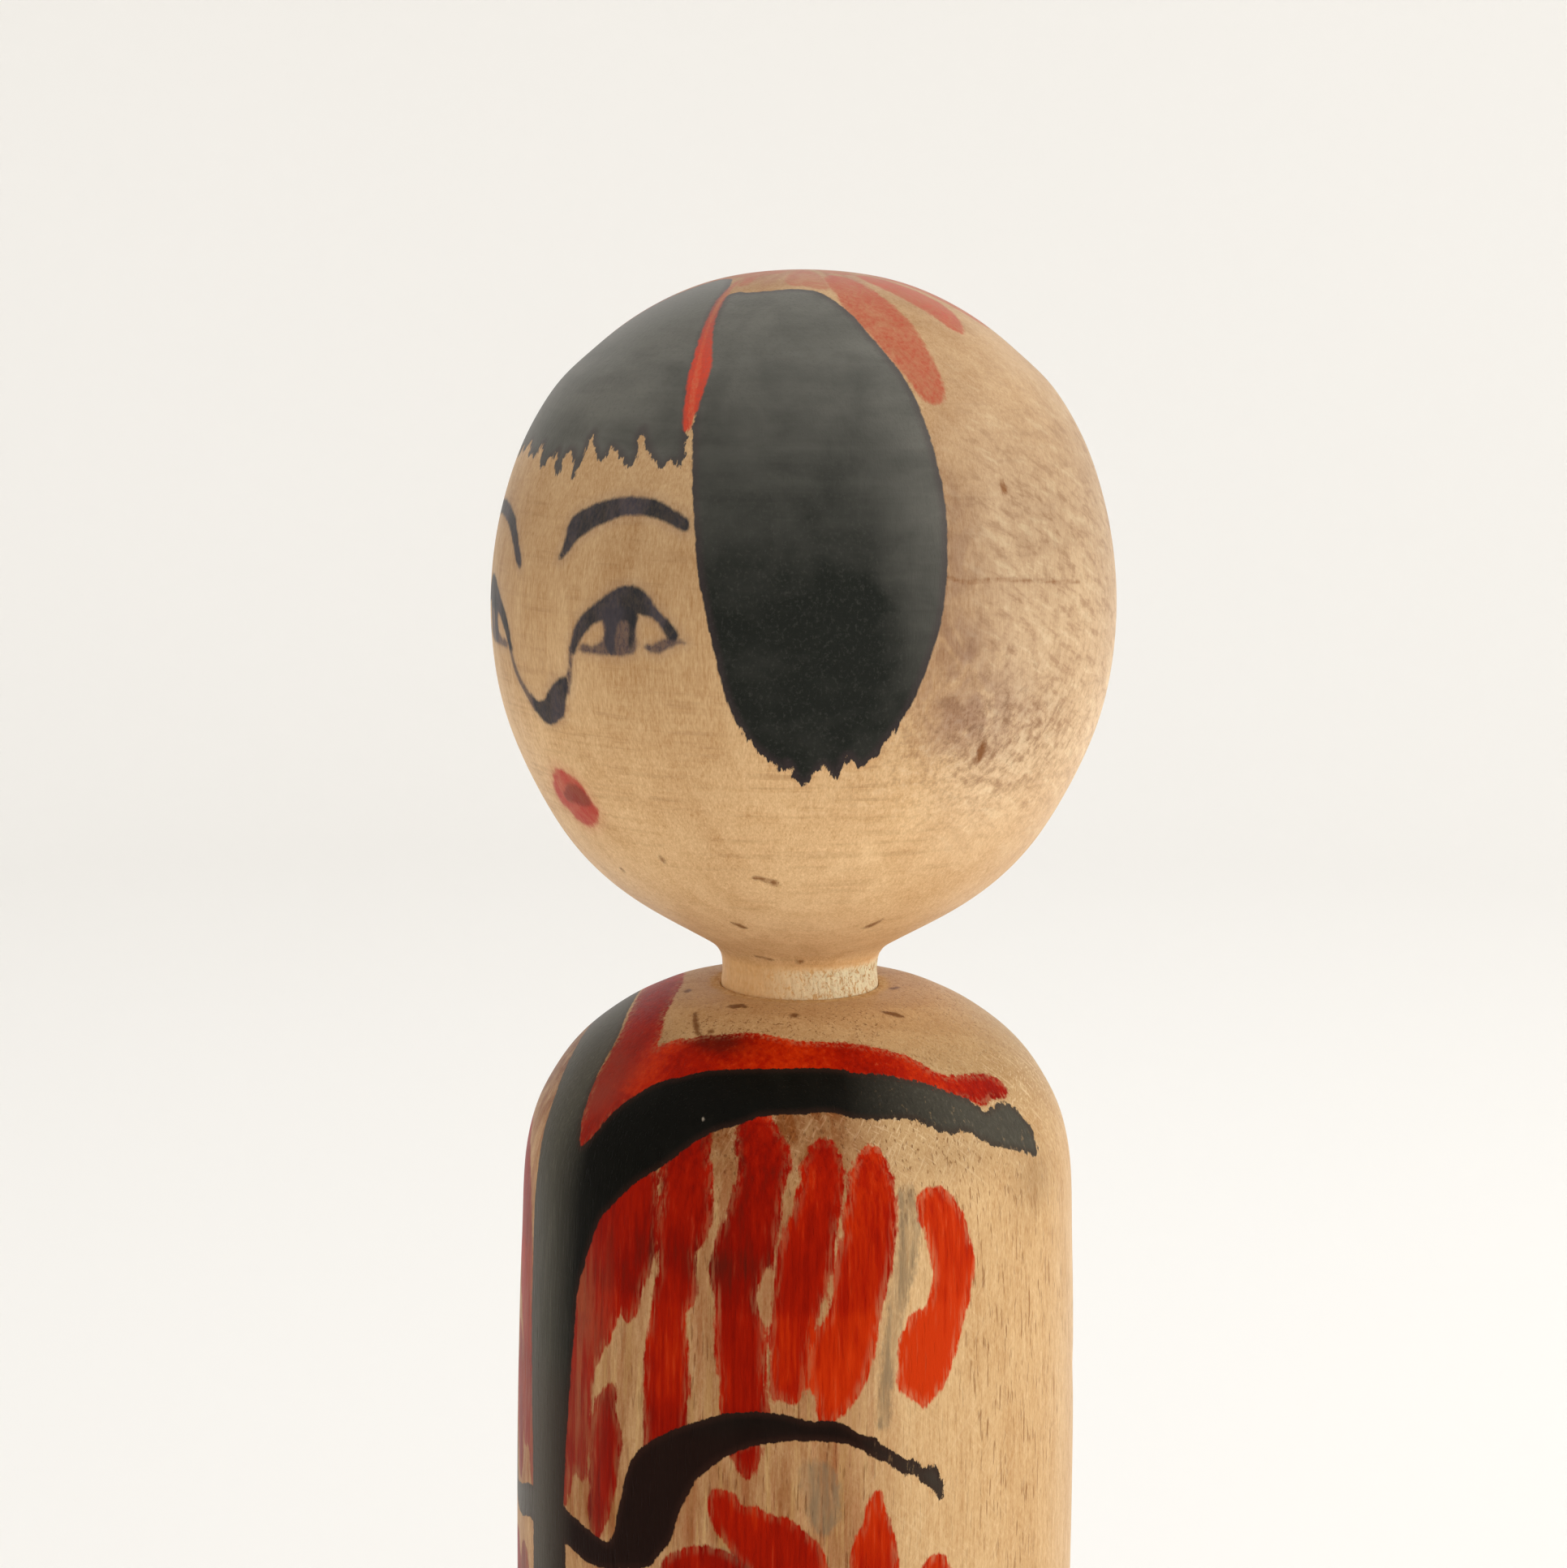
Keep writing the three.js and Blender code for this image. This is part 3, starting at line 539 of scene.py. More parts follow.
def rough_neck(xyz, phi, s):
    """Torn grain around the bare neck: short upright pits, deepest on the doll's left rear, never outside the turned radius."""
    z = xyz[:, 2]
    band = np.clip((z - 167.35) / 0.5, 0, 1) * np.clip((170.6 - z) / 0.9, 0, 1)
    wild = np.clip(0.45 + 0.55 * np.sin(np.radians(phi - 10)), 0.15, 1)
    f = bump_field(phi, z, 5, 120, 2.4, 60)
    g = bump_field(phi, z, 6, 34, 1.0, 30)
    cut = band * wild * (0.05 + 0.13 * np.clip(f, -0.4, 1.2) + 0.05 * g)
    r = np.hypot(xyz[:, 0], xyz[:, 1])
    k = np.where(r > 1, 1 - np.clip(cut, 0, 0.3) / np.maximum(r, 1), 1)
    out = xyz.copy()
    out[:, 0] *= k
    out[:, 1] *= k
    return out


head, phi, s, xyz = lathe("head_painted", rows, angles(0.80, 1.9, 112), rough_neck)
RIGHT = dict(about=0.5, down=0.9, wobble=0.15)
hair = [
    FRINGE, LOCK,
    mirror(LOCK, -3.6, 0.3, 0.3, 3, 1.0),
]
face = [BROW, LID, PUPIL, NOSE_TIP, BROW_RIGHT, mirror(LID, **RIGHT), mirror(PUPIL, **RIGHT)]
thin = [NOSE_LEFT, NOSE_RIGHT, LOWER_LID, IRIS, EYE_CORNER,
        mirror(LOWER_LID, **RIGHT), mirror(IRIS, **RIGHT), mirror(EYE_CORNER, **RIGHT)]
reds = PETALS + CROWN
reds += [(mirror(p, 1.0, 0.3, 0.8, 20 + i), t * 0.95) for i, (p, t) in enumerate(PETALS)]
reds += [(mirror(p, 0.0, 0.2, 1.0, 30 + i), t) for i, (p, t) in enumerate(CROWN[1:])]
ink, _ = paint(HEAD, hair, phi, s, xyz)
attribute(head, "ink", ink)
attribute(head, "face", paint(HEAD, face, phi, s, xyz)[0])
attribute(head, "thin", paint(HEAD, thin, phi, s, xyz)[0])
red, tone = paint(HEAD, reds, phi, s, xyz)
attribute(head, "red", red)
attribute(head, "tone", tone)
attribute(head, "part", paint(HEAD, [PARTING, mirror(PARTING, -3.6, 0.2, 0.2, 4)], phi, s, xyz)[0])
# Thin old red spread over the crown in rays.
ray = bump_field(phi, s * 0.1, 12, 26, 1.0, 40)
attribute(head, "blush", np.clip((11.6 + 1.8 * ray - s) / 3.0, 0, 1) * np.clip(0.5 + 0.45 * bump_field(phi, s * 0.4, 13, 40, 1.0, 40), 0.05, 1))
attribute(head, "lips", paint(HEAD, [LIPS], phi, s, xyz)[0])
attribute(head, "lipline", paint(HEAD, [LIP_LINE], phi, s, xyz)[0])
attribute(head, "fleck", paint(HEAD, HEAD_FLECKS, phi, s, xyz)[0])
attribute(head, "along", s)
around = lambda c, w: np.exp(-((((phi - c + 180) % 360 - 180) / w) ** 2))
stain = (
    1.0 * around(81, 9) * np.exp(-(((s - 56) / 8) ** 2))
    + 0.8 * around(80, 8) * np.exp(-(((s - 42) / 9) ** 2))
    + 0.55 * around(94, 14) * np.exp(-(((s - 60) / 5) ** 2))
    + 0.35 * around(-96, 16) * np.exp(-(((s - 50) / 12) ** 2))
    + 0.25 * around(3, 7) * np.exp(-(((s - 57) / 3) ** 2))
)
attribute(head, "stain", np.clip(stain, 0, 1))
tips = np.clip((s - 29) / 3, 0, 1) * np.clip((41 - s) / 3, 0, 1) * (np.abs(phi + 3) < 35.5) + np.clip((s - 57) / 4, 0, 1)
attribute(head, "tips", tips)
attribute(head, "back", np.clip((np.abs(phi) - 76) / 16, 0, 1) * np.clip((s - 16) / 24, 0, 1) * np.clip((80 - s) / 16, 0, 1))
rough = around(92, 27) * np.exp(-(((s - 63) / 7.0) ** 2)) + 0.35 * around(110, 40) * np.exp(-(((s - 48) / 18) ** 2)) + 0.5 * around(-120, 30) * np.exp(-(((s - 64) / 6) ** 2))
attribute(head, "rough", np.clip(rough, 0, 1))
# Pale torn wood at the neck, strongest on the doll's left rear: torn fibres there, with painted light from that side.
attribute(head, "raw", np.clip((s - (HEAD.length + 0.4)) / 0.7, 0, 1) * np.clip(0.20 + 0.92 * np.sin(np.radians(phi - 30)), 0.10, 1))
# The ink is greyer at the top, the back edge of the side locks and the fringe: partly dust and handling, partly painted
# sheen of reflected light on the black.
side = np.clip((np.abs(phi) - 66) / 14, 0, 1) * np.clip((62 - s) / 14, 0, 1)
front = np.clip(1 - np.abs(phi) / 34, 0, 1) ** 0.5
top = np.clip((48 - s) / 34, 0, 1)
attribute(head, "dust_and_sheen", np.clip(0.95 * top + 0.62 * side * (1 - top) + 0.42 * front * np.clip(s / 30, 0, 1), 0, 1))

# Body rows: socket floor, socket, mouth, shoulder, side, rim, recess
body_s = np.concatenate([np.arange(0.0, 4.0, 0.4), np.arange(4.0, 70.0, 0.43), np.arange(70.0, BODY.length, 0.92)])
rows = [(0.0, 146.4, -30.0), (4.0, 146.4, -29.0), (7.8, 146.4, -27.0), (8.6, 147.0, -26.0), (8.8, 147.4, -25.0), (8.8, 153.0, -20.0),
        (8.8, 158.9, -14.0), (8.45, 160.2, -11.0), (8.13, 161.1, -9.0), (8.13, 164.0, -5.0), (8.13, 166.6, -1.4), (8.13, 167.0, -0.9), (8.15, 167.18, -0.6),
        (8.24, 167.28, -0.45), (8.5, 167.3, -0.3)]
rows += [(float(r), float(z), float(q)) for q, r, z in zip(body_s, *BODY.at(body_s))]
L = BODY.length
rows += [(29.02, 1.2, L + 0.4), (28.8, 0.7, L + 1), (28.45, 0.35, L + 1.4), (28.05, 0.1, L + 1.9), (27.7, 0.0, L + 2.3), (27.2, 0.0, L + 2.8), (24.0, 0.0, L + 6),
         (20.6, 0.0, L + 9.4), (19.9, 0.0, L + 10.1), (19.5, 0.06, L + 10.5), (19.1, 0.3, L + 10.9), (18.7, 0.62, L + 11.4), (18.3, 0.82, L + 11.9), (17.9, 0.9, L + 12.3)]
rows += [(float(r), 0.9, L + 30.2 - float(r)) for r in np.arange(17.2, 0.5, -0.62)]
rows.append((0.0, 0.9, L + 30.2))


def underside(xyz, phi, s):
    """Marks of the lathe in the base, and a slightly torn lip where the neck comes out of the shoulder."""
    x, y, z = xyz[:, 0], xyz[:, 1], xyz[:, 2]
    r = np.hypot(x, y)
    base = (z < 1.0) & (r < 18.2)
    up = np.where(base, 3.0 * np.clip(1 - r / 1.5, 0, 1), 0)
    for i in range(4):
        a = i * math.pi / 2 + 0.3
        u, v = x * math.cos(a) + y * math.sin(a), -x * math.sin(a) + y * math.cos(a)
        up = np.maximum(up, np.where(base, 2.0 * np.clip(1 - np.abs(v) / 0.62, 0, 1) * np.clip((2.75 - np.abs(u - 11.5)) / 0.35, 0, 1), 0))
    rings = np.where(base & (r > 1.6), 0.05 * np.sin(r * 4.8) * np.clip((17.5 - r) / 2, 0, 1), 0)
    out = xyz.copy()
    out[:, 2] += up + np.clip(rings, -0.02, 0.05)
    rng = np.random.RandomState(17)
    k = np.ones(len(s))
    for _ in range(26):
        c, q, w, d = rng.uniform(-180, 180), rng.uniform(24, 168), rng.uniform(0.8, 2.2), rng.uniform(0.03, 0.11)
        across = np.radians((phi - c + 180) % 360 - 180) * 29 / w
        k -= np.where(s > 0, d * np.exp(-(across**2) - ((s - q) / (w * rng.uniform(0.6, 1.6))) ** 2) / 29, 0)
    out[:, 0] *= k
    out[:, 1] *= k
    lip = np.clip(1 - np.abs(s - 0.1) / 0.9, 0, 1) * (z > 166.9)
    f = bump_field(phi, s, 9, 90, 1.6, 50)
    out[:, 2] -= lip * np.clip(0.03 + 0.10 * f, 0, 0.2)
    return out


body, phi, s, xyz = lathe("body_painted", rows, angles(0.98, 2.5, 122), underside)
other = dict(about=-4.6, down=0.0, wobble=0.5)
bands = [BAND, ARC2, ARC3, ARC4, HEM,
         mirror(ARC2, -4.6, 0.2, 0.5, 41, 1.0), mirror(ARC3, -4.6, -0.8, 0.6, 42), mirror(ARC4, -4.6, 0.6, 0.6, 43), mirror(HEM, -4.6, 0.2, 0.4, 44)]
ink, _ = paint(BODY, bands, phi, s, xyz)
attribute(body, "ink", ink)
reds = [(COLLAR, 0.5)] + STRIPES
reds += [(mirror(p, -4.6, (0.6, -0.5, 0.3)[i % 3], 0.7, 50 + i, (1.0, 0.985, 1.01)[i % 3]), t) for i, (p, t) in enumerate(STRIPES)]
red, tone = paint(BODY, reds, phi, s, xyz)
high = (s < 24) & (s < 17.5 + np.abs(phi) * 0.02)
away = lambda c, w: np.exp(-((((phi - c + 180) % 360 - 180) / w) ** 2))
tone = np.where(high, 0.46 + 0.30 * away(52, 17) + 0.34 * away(12, 6) + 0.28 * away(90, 9) + 0.3 * away(-66, 20), tone)
tone = tone - np.where(high, 0, np.exp(-(((s - 32.2) / 1.9) ** 2)) * np.interp(phi, [0, 8, 18, 24, 50, 58], [0, 0.02, 0.05, 0.18, 0.2, 0]))
tone = tone + np.where(high, 0, 0.16 * np.clip((s - 36.4) / 1.2, 0, 1) * np.clip((48 - s) / 2, 0, 1) - 0.06)
attribute(body, "red", red)
attribute(body, "tone", tone)
attribute(body, "grey", paint(BODY, GREY + [mirror(g, -4.6, 0.5, 0.8, 80 + i) for i, g in enumerate(GREY)], phi, s, xyz)[0])
attribute(body, "fleck", paint(BODY, BODY_FLECKS, phi, s, xyz)[0])
attribute(body, "along", s)
around = lambda c, w: np.exp(-((((phi - c + 180) % 360 - 180) / w) ** 2))
# Colour that has spread from the stripes into the wood between them, and a dark overlap on the collar.
across = np.clip((44 - np.abs(phi - 33)) / 15, 0, 1) + np.clip((44 - np.abs(phi + 43)) / 15, 0, 1)
down = np.interp(s, [9, 14, 20, 27, 48, 60, 66, 90, 104, 130, 150, 168], [0, 1, 1, 0.72, 0.66, 0.9, 0.62, 0.45, 0.7, 0.42, 0.6, 0.2])
attribute(body, "wash", np.clip(across, 0, 1) * down)
dark = around(28, 10) * np.exp(-(((s - 9.6) / 1.5) ** 2)) + 0.6 * around(-62, 14) * np.exp(-(((s - 6.5) / 1.6) ** 2))
attribute(body, "dark", np.clip(dark * 1.3, 0, 1))
# Greyer towards the shoulder: handling, and painted shade under the head; the scratches gather there too.
attribute(body, "handled_and_shaded", 0.25 + 0.75 * np.exp(-(((s - 15) / 8.5) ** 2)))
dull = 1.2 * around(-1, 11) * np.exp(-(((s - 17) / 6) ** 2)) + 0.75 * np.clip((21 - np.abs(phi + 4)) / 10, 0, 1) * np.clip((s - 27) / 9, 0, 1)
attribute(body, "dull", np.clip(dull, 0, 1))
soot = 0.6 * around(112, 9) * np.exp(-(((s - 27) / 3.5) ** 2)) + 0.35 * around(90, 16) * np.exp(-(((s - 23) / 2.4) ** 2))
attribute(body, "stain", np.clip(soot, 0, 1))
# The ink is greyest at the ends of the arcs, the front line and the top of the shoulder: partly rubbed by hands, partly
# painted sheen of reflected light on the black.
worn = np.clip((np.abs(phi) - 66) / 30, 0, 1) * 0.8 + 0.80 * np.clip((6 - phi) / 12, 0, 1) * (phi < 6) + 0.35 * np.clip((20 - s) / 10, 0, 1) * around(0, 14)
attribute(body, "dust_and_sheen", np.clip(1.0 * worn, 0, 1))
attribute(body, "ends", np.clip((np.abs(phi + 2) - 66) / 16, 0, 1))
attribute(body, "chip", paint(BODY, [stroke([(32.8, 18.5, 0.2), (33.0, 18.7, 0.34), (33.2, 18.9, 0.2)]), stroke([(-31, 96.0, 0.2), (-31.3, 96.8, 0.5), (-31.2, 97.5, 0.2)])], phi, s, xyz)[0])
attribute(body, "raw", np.clip(1 - s / 0.6, 0, 1) * (xyz[:, 2] > 160) + (s > L + 2) * 0.6)


# ------------------------------------------------------------------ materials
class Nodes:
    """Short names for building a material's nodes."""

    def __init__(self, name):
        self.mat = bpy.data.materials.new(name)
        self.mat.use_nodes = True
        self.t = self.mat.node_tree
        self.t.nodes.clear()

    def new(self, kind, **props):
        n = self.t.nodes.new(kind)
        for k, v in props.items():
            setattr(n, k, v)
        return n

    def put(self, socket, value):
        if isinstance(value, bpy.types.NodeSocket):
            self.t.links.new(value, socket)
        elif isinstance(value, (tuple, list)) and len(value) == 3 and socket.type == "RGBA":
            socket.default_value = (*value, 1)
        else:
            socket.default_value = value

    def math(self, op, a, b=0.0, c=None, clamp=False):
        n = self.new("ShaderNodeMath", operation=op, use_clamp=clamp)
        self.put(n.inputs[0], a)
        self.put(n.inputs[1], b)
        if c is not None:
            self.put(n.inputs[2], c)
        return n.outputs[0]

    def add(self, a, b): return self.math("ADD", a, b)
    def sub(self, a, b): return self.math("SUBTRACT", a, b)
    def mul(self, a, b, clamp=False): return self.math("MULTIPLY", a, b, clamp=clamp)
    def max(self, a, b): return self.math("MAXIMUM", a, b)
    def min(self, a, b): return self.math("MINIMUM", a, b)

    def range(self, v, a, b, c=0.0, d=1.0, smooth=True):
        n = self.new("ShaderNodeMapRange", interpolation_type="SMOOTHSTEP" if smooth else "LINEAR")
        self.put(n.inputs[0], v)
        for i, x in enumerate((a, b, c, d)):
            self.put(n.inputs[1 + i], x)
        return n.outputs[0]

    def mix(self, f, a, b, blend="MIX"):
        n = self.new("ShaderNodeMix", data_type="RGBA", blend_type=blend, clamp_factor=True)
        self.put(n.inputs[0], f)
        self.put(n.inputs[6], a)
        self.put(n.inputs[7], b)
        return n.outputs[2]

    def scaled(self, vector, x, y, z, shift=(0, 0, 0)):
        n = self.new("ShaderNodeMapping")
        self.put(n.inputs[0], vector)
        n.inputs[1].default_value = shift
        n.inputs[3].default_value = (x, y, z)
        return n.outputs[0]

    def noise(self, vector, x, y=None, z=None, detail=2.0, rough=0.5, warp=0.0, shift=(0, 0, 0)):
        y = x if y is None else y
        z = x if z is None else z
        n = self.new("ShaderNodeTexNoise")
        self.put(n.inputs["Vector"], self.scaled(vector, x, y, z, shift))
        n.inputs["Scale"].default_value = 1.0
        n.inputs["Detail"].default_value = detail
        n.inputs["Roughness"].default_value = rough
        n.inputs["Distortion"].default_value = warp
        return n.outputs[0]

    def turned_noise(self, vector, angles, x, y, z, detail=2.0, rough=0.5, shift=(0, 0, 0)):
        """Noise stretched along a direction that isn't an axis."""
        n = self.new("ShaderNodeMapping")
        self.put(n.inputs[0], vector)
        n.inputs[2].default_value = angles
        return self.noise(n.outputs[0], x, y, z, detail=detail, rough=rough, shift=shift)

    def attr(self, name):
        return self.new("ShaderNodeAttribute", attribute_type="GEOMETRY", attribute_name=name).outputs["Fac"]

    def ramp(self, v, stops):
        n = self.new("ShaderNodeValToRGB")
        self.put(n.inputs[0], v)
        e = n.color_ramp.elements
        while len(e) < len(stops):
            e.new(0.5)
        for el, (p, c) in zip(e, stops):
            el.position = p
            el.color = (*c, 1)
        return n.outputs[0]


def srgb(r, g, b):
    f = lambda c: c / 12.92 if c <= 0.04045 else ((c + 0.055) / 1.055) ** 2.4
    return tuple(f(v / 255) for v in (r, g, b))


def wood(n, mm, pith, light, dark, seed=0.0, ring=0.2, soft=0.45):
    """Pale close-grained wood: growth layers round a pith line, fibres along Z, pores, mottling. Returns its colour, a height for bump, and some of its noises."""
    sh = (seed, seed * 1.7, seed * 0.6)
    bend = n.noise(mm, 0.022, 0.022, 0.010, detail=2, rough=0.45, shift=sh)
    bend2 = n.noise(mm, 0.16, 0.16, 0.05, detail=2, rough=0.5, shift=sh)
    sep = n.new("ShaderNodeSeparateXYZ")
    n.put(sep.inputs[0], mm)
    x = n.add(sep.outputs[0], -pith[0])
    y = n.add(sep.outputs[1], -pith[1])
    d = n.math("SQRT", n.add(n.mul(x, x), n.mul(y, y)))
    d = n.add(d, n.mul(n.sub(bend, 0.5), 34.0))
    d = n.add(d, n.mul(n.sub(bend2, 0.5), 3.2))
    phase = n.math("FRACT", n.mul(d, 1 / 4.3))
    layer = n.ramp(phase, [(0.0, (0.15,) * 3), (0.5, (0.45,) * 3), (0.86, (1.0,) * 3), (1.0, (0.15,) * 3)])
    fibre = n.noise(mm, 2.4, 2.4, 0.22, detail=4, rough=0.62, shift=sh)
    fine = n.noise(mm, 7.5, 7.5, 1.3, detail=2, rough=0.6, shift=sh)
    speck = n.noise(mm, 3.4, 3.4, 1.5, detail=3, rough=0.65, warp=0.4, shift=sh)
    mottle = n.noise(mm, 0.30, 0.30, 0.13, detail=3, rough=0.55, warp=0.6, shift=sh)
    cloud = n.noise(mm, 0.06, 0.06, 0.035, detail=2, rough=0.5, shift=sh)
    hair = n.noise(mm, 6.5, 6.5, 0.30, detail=3, rough=0.65, shift=sh)
    v = n.add(n.mul(n.sub(layer, 0.45), ring), 0.5)
    v = n.add(v, n.mul(n.sub(fibre, 0.5), 0.55))
    v = n.add(v, n.mul(n.sub(hair, 0.5), 0.85))
    v = n.add(v, n.mul(n.sub(fine, 0.5), 0.75))
    v = n.add(v, n.mul(n.sub(speck, 0.5), 0.75))
    v = n.add(v, n.mul(n.sub(mottle, 0.5), soft))
    v = n.add(v, n.mul(n.sub(cloud, 0.5), soft))
    v = n.range(v, -0.1, 1.1, 0, 1, smooth=False)
    colour = n.mix(v, light, dark)
    return colour, fibre, fine, speck, mottle, cloud


def edge(n, sdf, wobble, width=0.09, grow=0.0):
    """1 inside a painted outline, 0 outside, with the wobble in mm added to the edge."""
    return n.range(n.add(sdf, wobble), -width - grow, width - grow)


def finish_material(n, colour, rough, height, distance, specular=0.5, rim=0.5):
    b = n.new("ShaderNodeBsdfPrincipled")
    n.put(b.inputs["Base Color"], colour)
    n.put(b.inputs["Roughness"], rough)
    facing = n.new("ShaderNodeLayerWeight")
    facing.inputs[0].default_value = 0.5
    n.put(b.inputs["Specular IOR Level"], n.range(facing.outputs["Facing"], 0.5, 1.0, specular, rim))
    bump = n.new("ShaderNodeBump")
    bump.inputs["Strength"].default_value = 1.0
    bump.inputs["Distance"].default_value = distance
    n.put(bump.inputs["Height"], height)
    n.put(b.inputs["Normal"], bump.outputs[0])
    out = n.new("ShaderNodeOutputMaterial")
    n.put(out.inputs[0], b.outputs[0])
    return n.mat


def head_material():
    n = Nodes("head_paint_on_wood")
    mm = n.scaled(n.new("ShaderNodeTexCoord").outputs["Object"], 1000, 1000, 1000)
    s = n.attr("along")
    base, fibre, fine, speck, mottle, cloud = wood(n, mm, (-52.0, 36.0), srgb(251, 215, 165), srgb(194, 144, 91), 3.0, 0.13, 0.6)
    turned = n.noise(mm, 0.07, 0.07, 1.5, detail=4, rough=0.62, shift=(2, 5, 1))
    low = n.mul(n.mul(n.range(s, 52, 60), n.range(s, 78, 66)), n.range(mottle, 0.38, 0.60, 0.35, 1.0))
    base = n.mix(n.mul(n.range(turned, 0.50, 0.66), n.add(n.range(mottle, 0.35, 0.65, 0.02, 0.22), n.mul(low, 0.12))), base, srgb(168, 122, 78))
    base = n.mix(n.mul(n.range(turned, 0.50, 0.36), n.mul(low, 0.12)), base, srgb(252, 224, 176))
    flame = n.turned_noise(mm, (0.5, 0.0, 0.6), 0.30, 0.34, 1.05, detail=5, rough=0.66, shift=(4, 1, 8))
    back = n.attr("back")
    base = n.mix(n.mul(back, 0.24), base, srgb(248, 232, 208))
    base = n.mix(n.mul(n.range(flame, 0.50, 0.66), n.mul(back, 0.55)), base, srgb(176, 134, 98))
    base = n.mix(n.mul(n.range(flame, 0.47, 0.34), n.mul(back, 0.55)), base, srgb(252, 226, 184))
    # raised and torn grain
    rough = n.attr("rough")
    torn = n.turned_noise(mm, (0.4, 0.3, 0.5), 1.5, 1.1, 0.62, detail=5, rough=0.72)
    base = n.mix(n.mul(n.range(torn, 0.46, 0.66), n.mul(rough, 0.62)), base, srgb(158, 120, 86))
    base = n.mix(n.mul(n.range(torn, 0.50, 0.34), n.mul(rough, 0.5)), base, srgb(246, 220, 180))
    # darker and greyer towards the top: partly handling, partly painted shade on the upper head
    aged_and_shaded = n.add(n.range(s, 72, 40), n.mul(n.sub(cloud, 0.5), 0.5))
    base = n.mix(n.mul(aged_and_shaded, 0.9, clamp=True), base, n.mix(1.0, base, srgb(205, 202, 201), "MULTIPLY"))
    base = n.mix(n.mul(n.range(s, 24, 7), 0.55), base, n.mix(1.0, base, srgb(206, 196, 190), "MULTIPLY"))
    # purplish stain beside the hair
    blot = n.noise(mm, 0.35, 0.35, 0.25, detail=4, rough=0.6, warp=0.8)
    st = n.mul(n.attr("stain"), n.range(blot, 0.25, 0.65, 0.35, 1.0))
    base = n.mix(n.mul(st, 0.80), base, n.mix(1.0, base, srgb(184, 170, 180), "MULTIPLY"))
    # bare neck: pale, dry, and paler on the doll's left rear, torn fibres there with painted light from that side
    raw = n.attr("raw")
    base = n.mix(n.mul(n.range(s, 95.6, 98.2), 0.34), base, srgb(250, 186, 108))
    chip = n.noise(mm, 2.2, 2.2, 1.5, detail=4, rough=0.7, warp=0.9, shift=(5, 5, 2))
    base = n.mix(n.mul(raw, 0.85), base, n.mix(n.range(chip, 0.46, 0.66), srgb(255, 246, 210), srgb(206, 154, 90)))
    # flecks
    wob = n.add(n.mul(n.sub(n.noise(mm, 1.5, 1.5, 0.9, detail=3, rough=0.6), 0.5), 0.55), n.mul(n.sub(n.noise(mm, 6, 6, 2.2, detail=2), 0.5), 0.22))
    fl = edge(n, n.attr("fleck"), n.mul(wob, 1.2), 0.28)
    base = n.mix(n.mul(fl, 0.85), base, srgb(122, 70, 28))
    # red on the crown paler and pinker, painted sheen on the top of the head; brighter beside the hair
    tone = n.attr("tone")
    patch = n.noise(mm, 0.5, 0.5, 0.5, detail=4, rough=0.6, warp=0.5)
    blush = n.mul(n.attr("blush"), n.range(patch, 0.3, 0.65, 0.35, 0.75))
    base = n.mix(blush, base, srgb(144, 78, 60))
    red = n.ramp(n.add(tone, n.mul(n.sub(patch, 0.5), 0.5)), [(0.0, srgb(160, 96, 78)), (0.35, srgb(166, 80, 60)), (0.7, srgb(170, 72, 50)), (1.0, srgb(186, 58, 36))])
    mask = edge(n, n.attr("red"), n.mul(wob, 1.5), 0.3)
    cover = n.range(n.add(tone, n.mul(n.sub(patch, 0.5), 0.9)), 0.1, 0.75, 0.42, 0.92)
    cover = n.mul(cover, n.range(fibre, 0.35, 0.62, 1.0, 0.72))
    base = n.mix(n.mul(mask, cover), base, red)
    # lips
    lip = n.mul(edge(n, n.attr("lips"), n.mul(wob, 1.6), 0.36, 0.05), n.range(patch, 0.3, 0.7, 0.94, 0.72))
    base = n.mix(n.mul(n.range(n.attr("lips"), -1.7, 0.0), 0.22), base, srgb(196, 112, 88))
    base = n.mix(lip, base, srgb(184, 58, 50))
    base = n.mix(n.mul(edge(n, n.attr("lipline"), n.mul(wob, 1.2), 0.35), 0.62), base, srgb(112, 44, 34))
    # black hair, greyer towards the top with dust and painted sheen, and the face in thinner ink
    sweepings = n.noise(mm, 0.09, 0.09, 0.62, detail=3, rough=0.55, warp=0.5, shift=(8, 3, 3))
    blotch = n.noise(mm, 0.16, 0.16, 0.20, detail=4, rough=0.6, warp=0.4, shift=(3, 8, 6))
    dust_and_sheen = n.add(n.attr("dust_and_sheen"), n.mul(n.sub(cloud, 0.5), 0.2))
    dust_and_sheen = n.add(dust_and_sheen, n.mul(n.sub(sweepings, 0.5), n.add(n.mul(n.attr("dust_and_sheen"), 0.50), 0.10)))
    dust_and_sheen = n.add(dust_and_sheen, n.mul(n.sub(blotch, 0.48), n.add(n.mul(n.attr("dust_and_sheen"), 0.60), 0.42)))
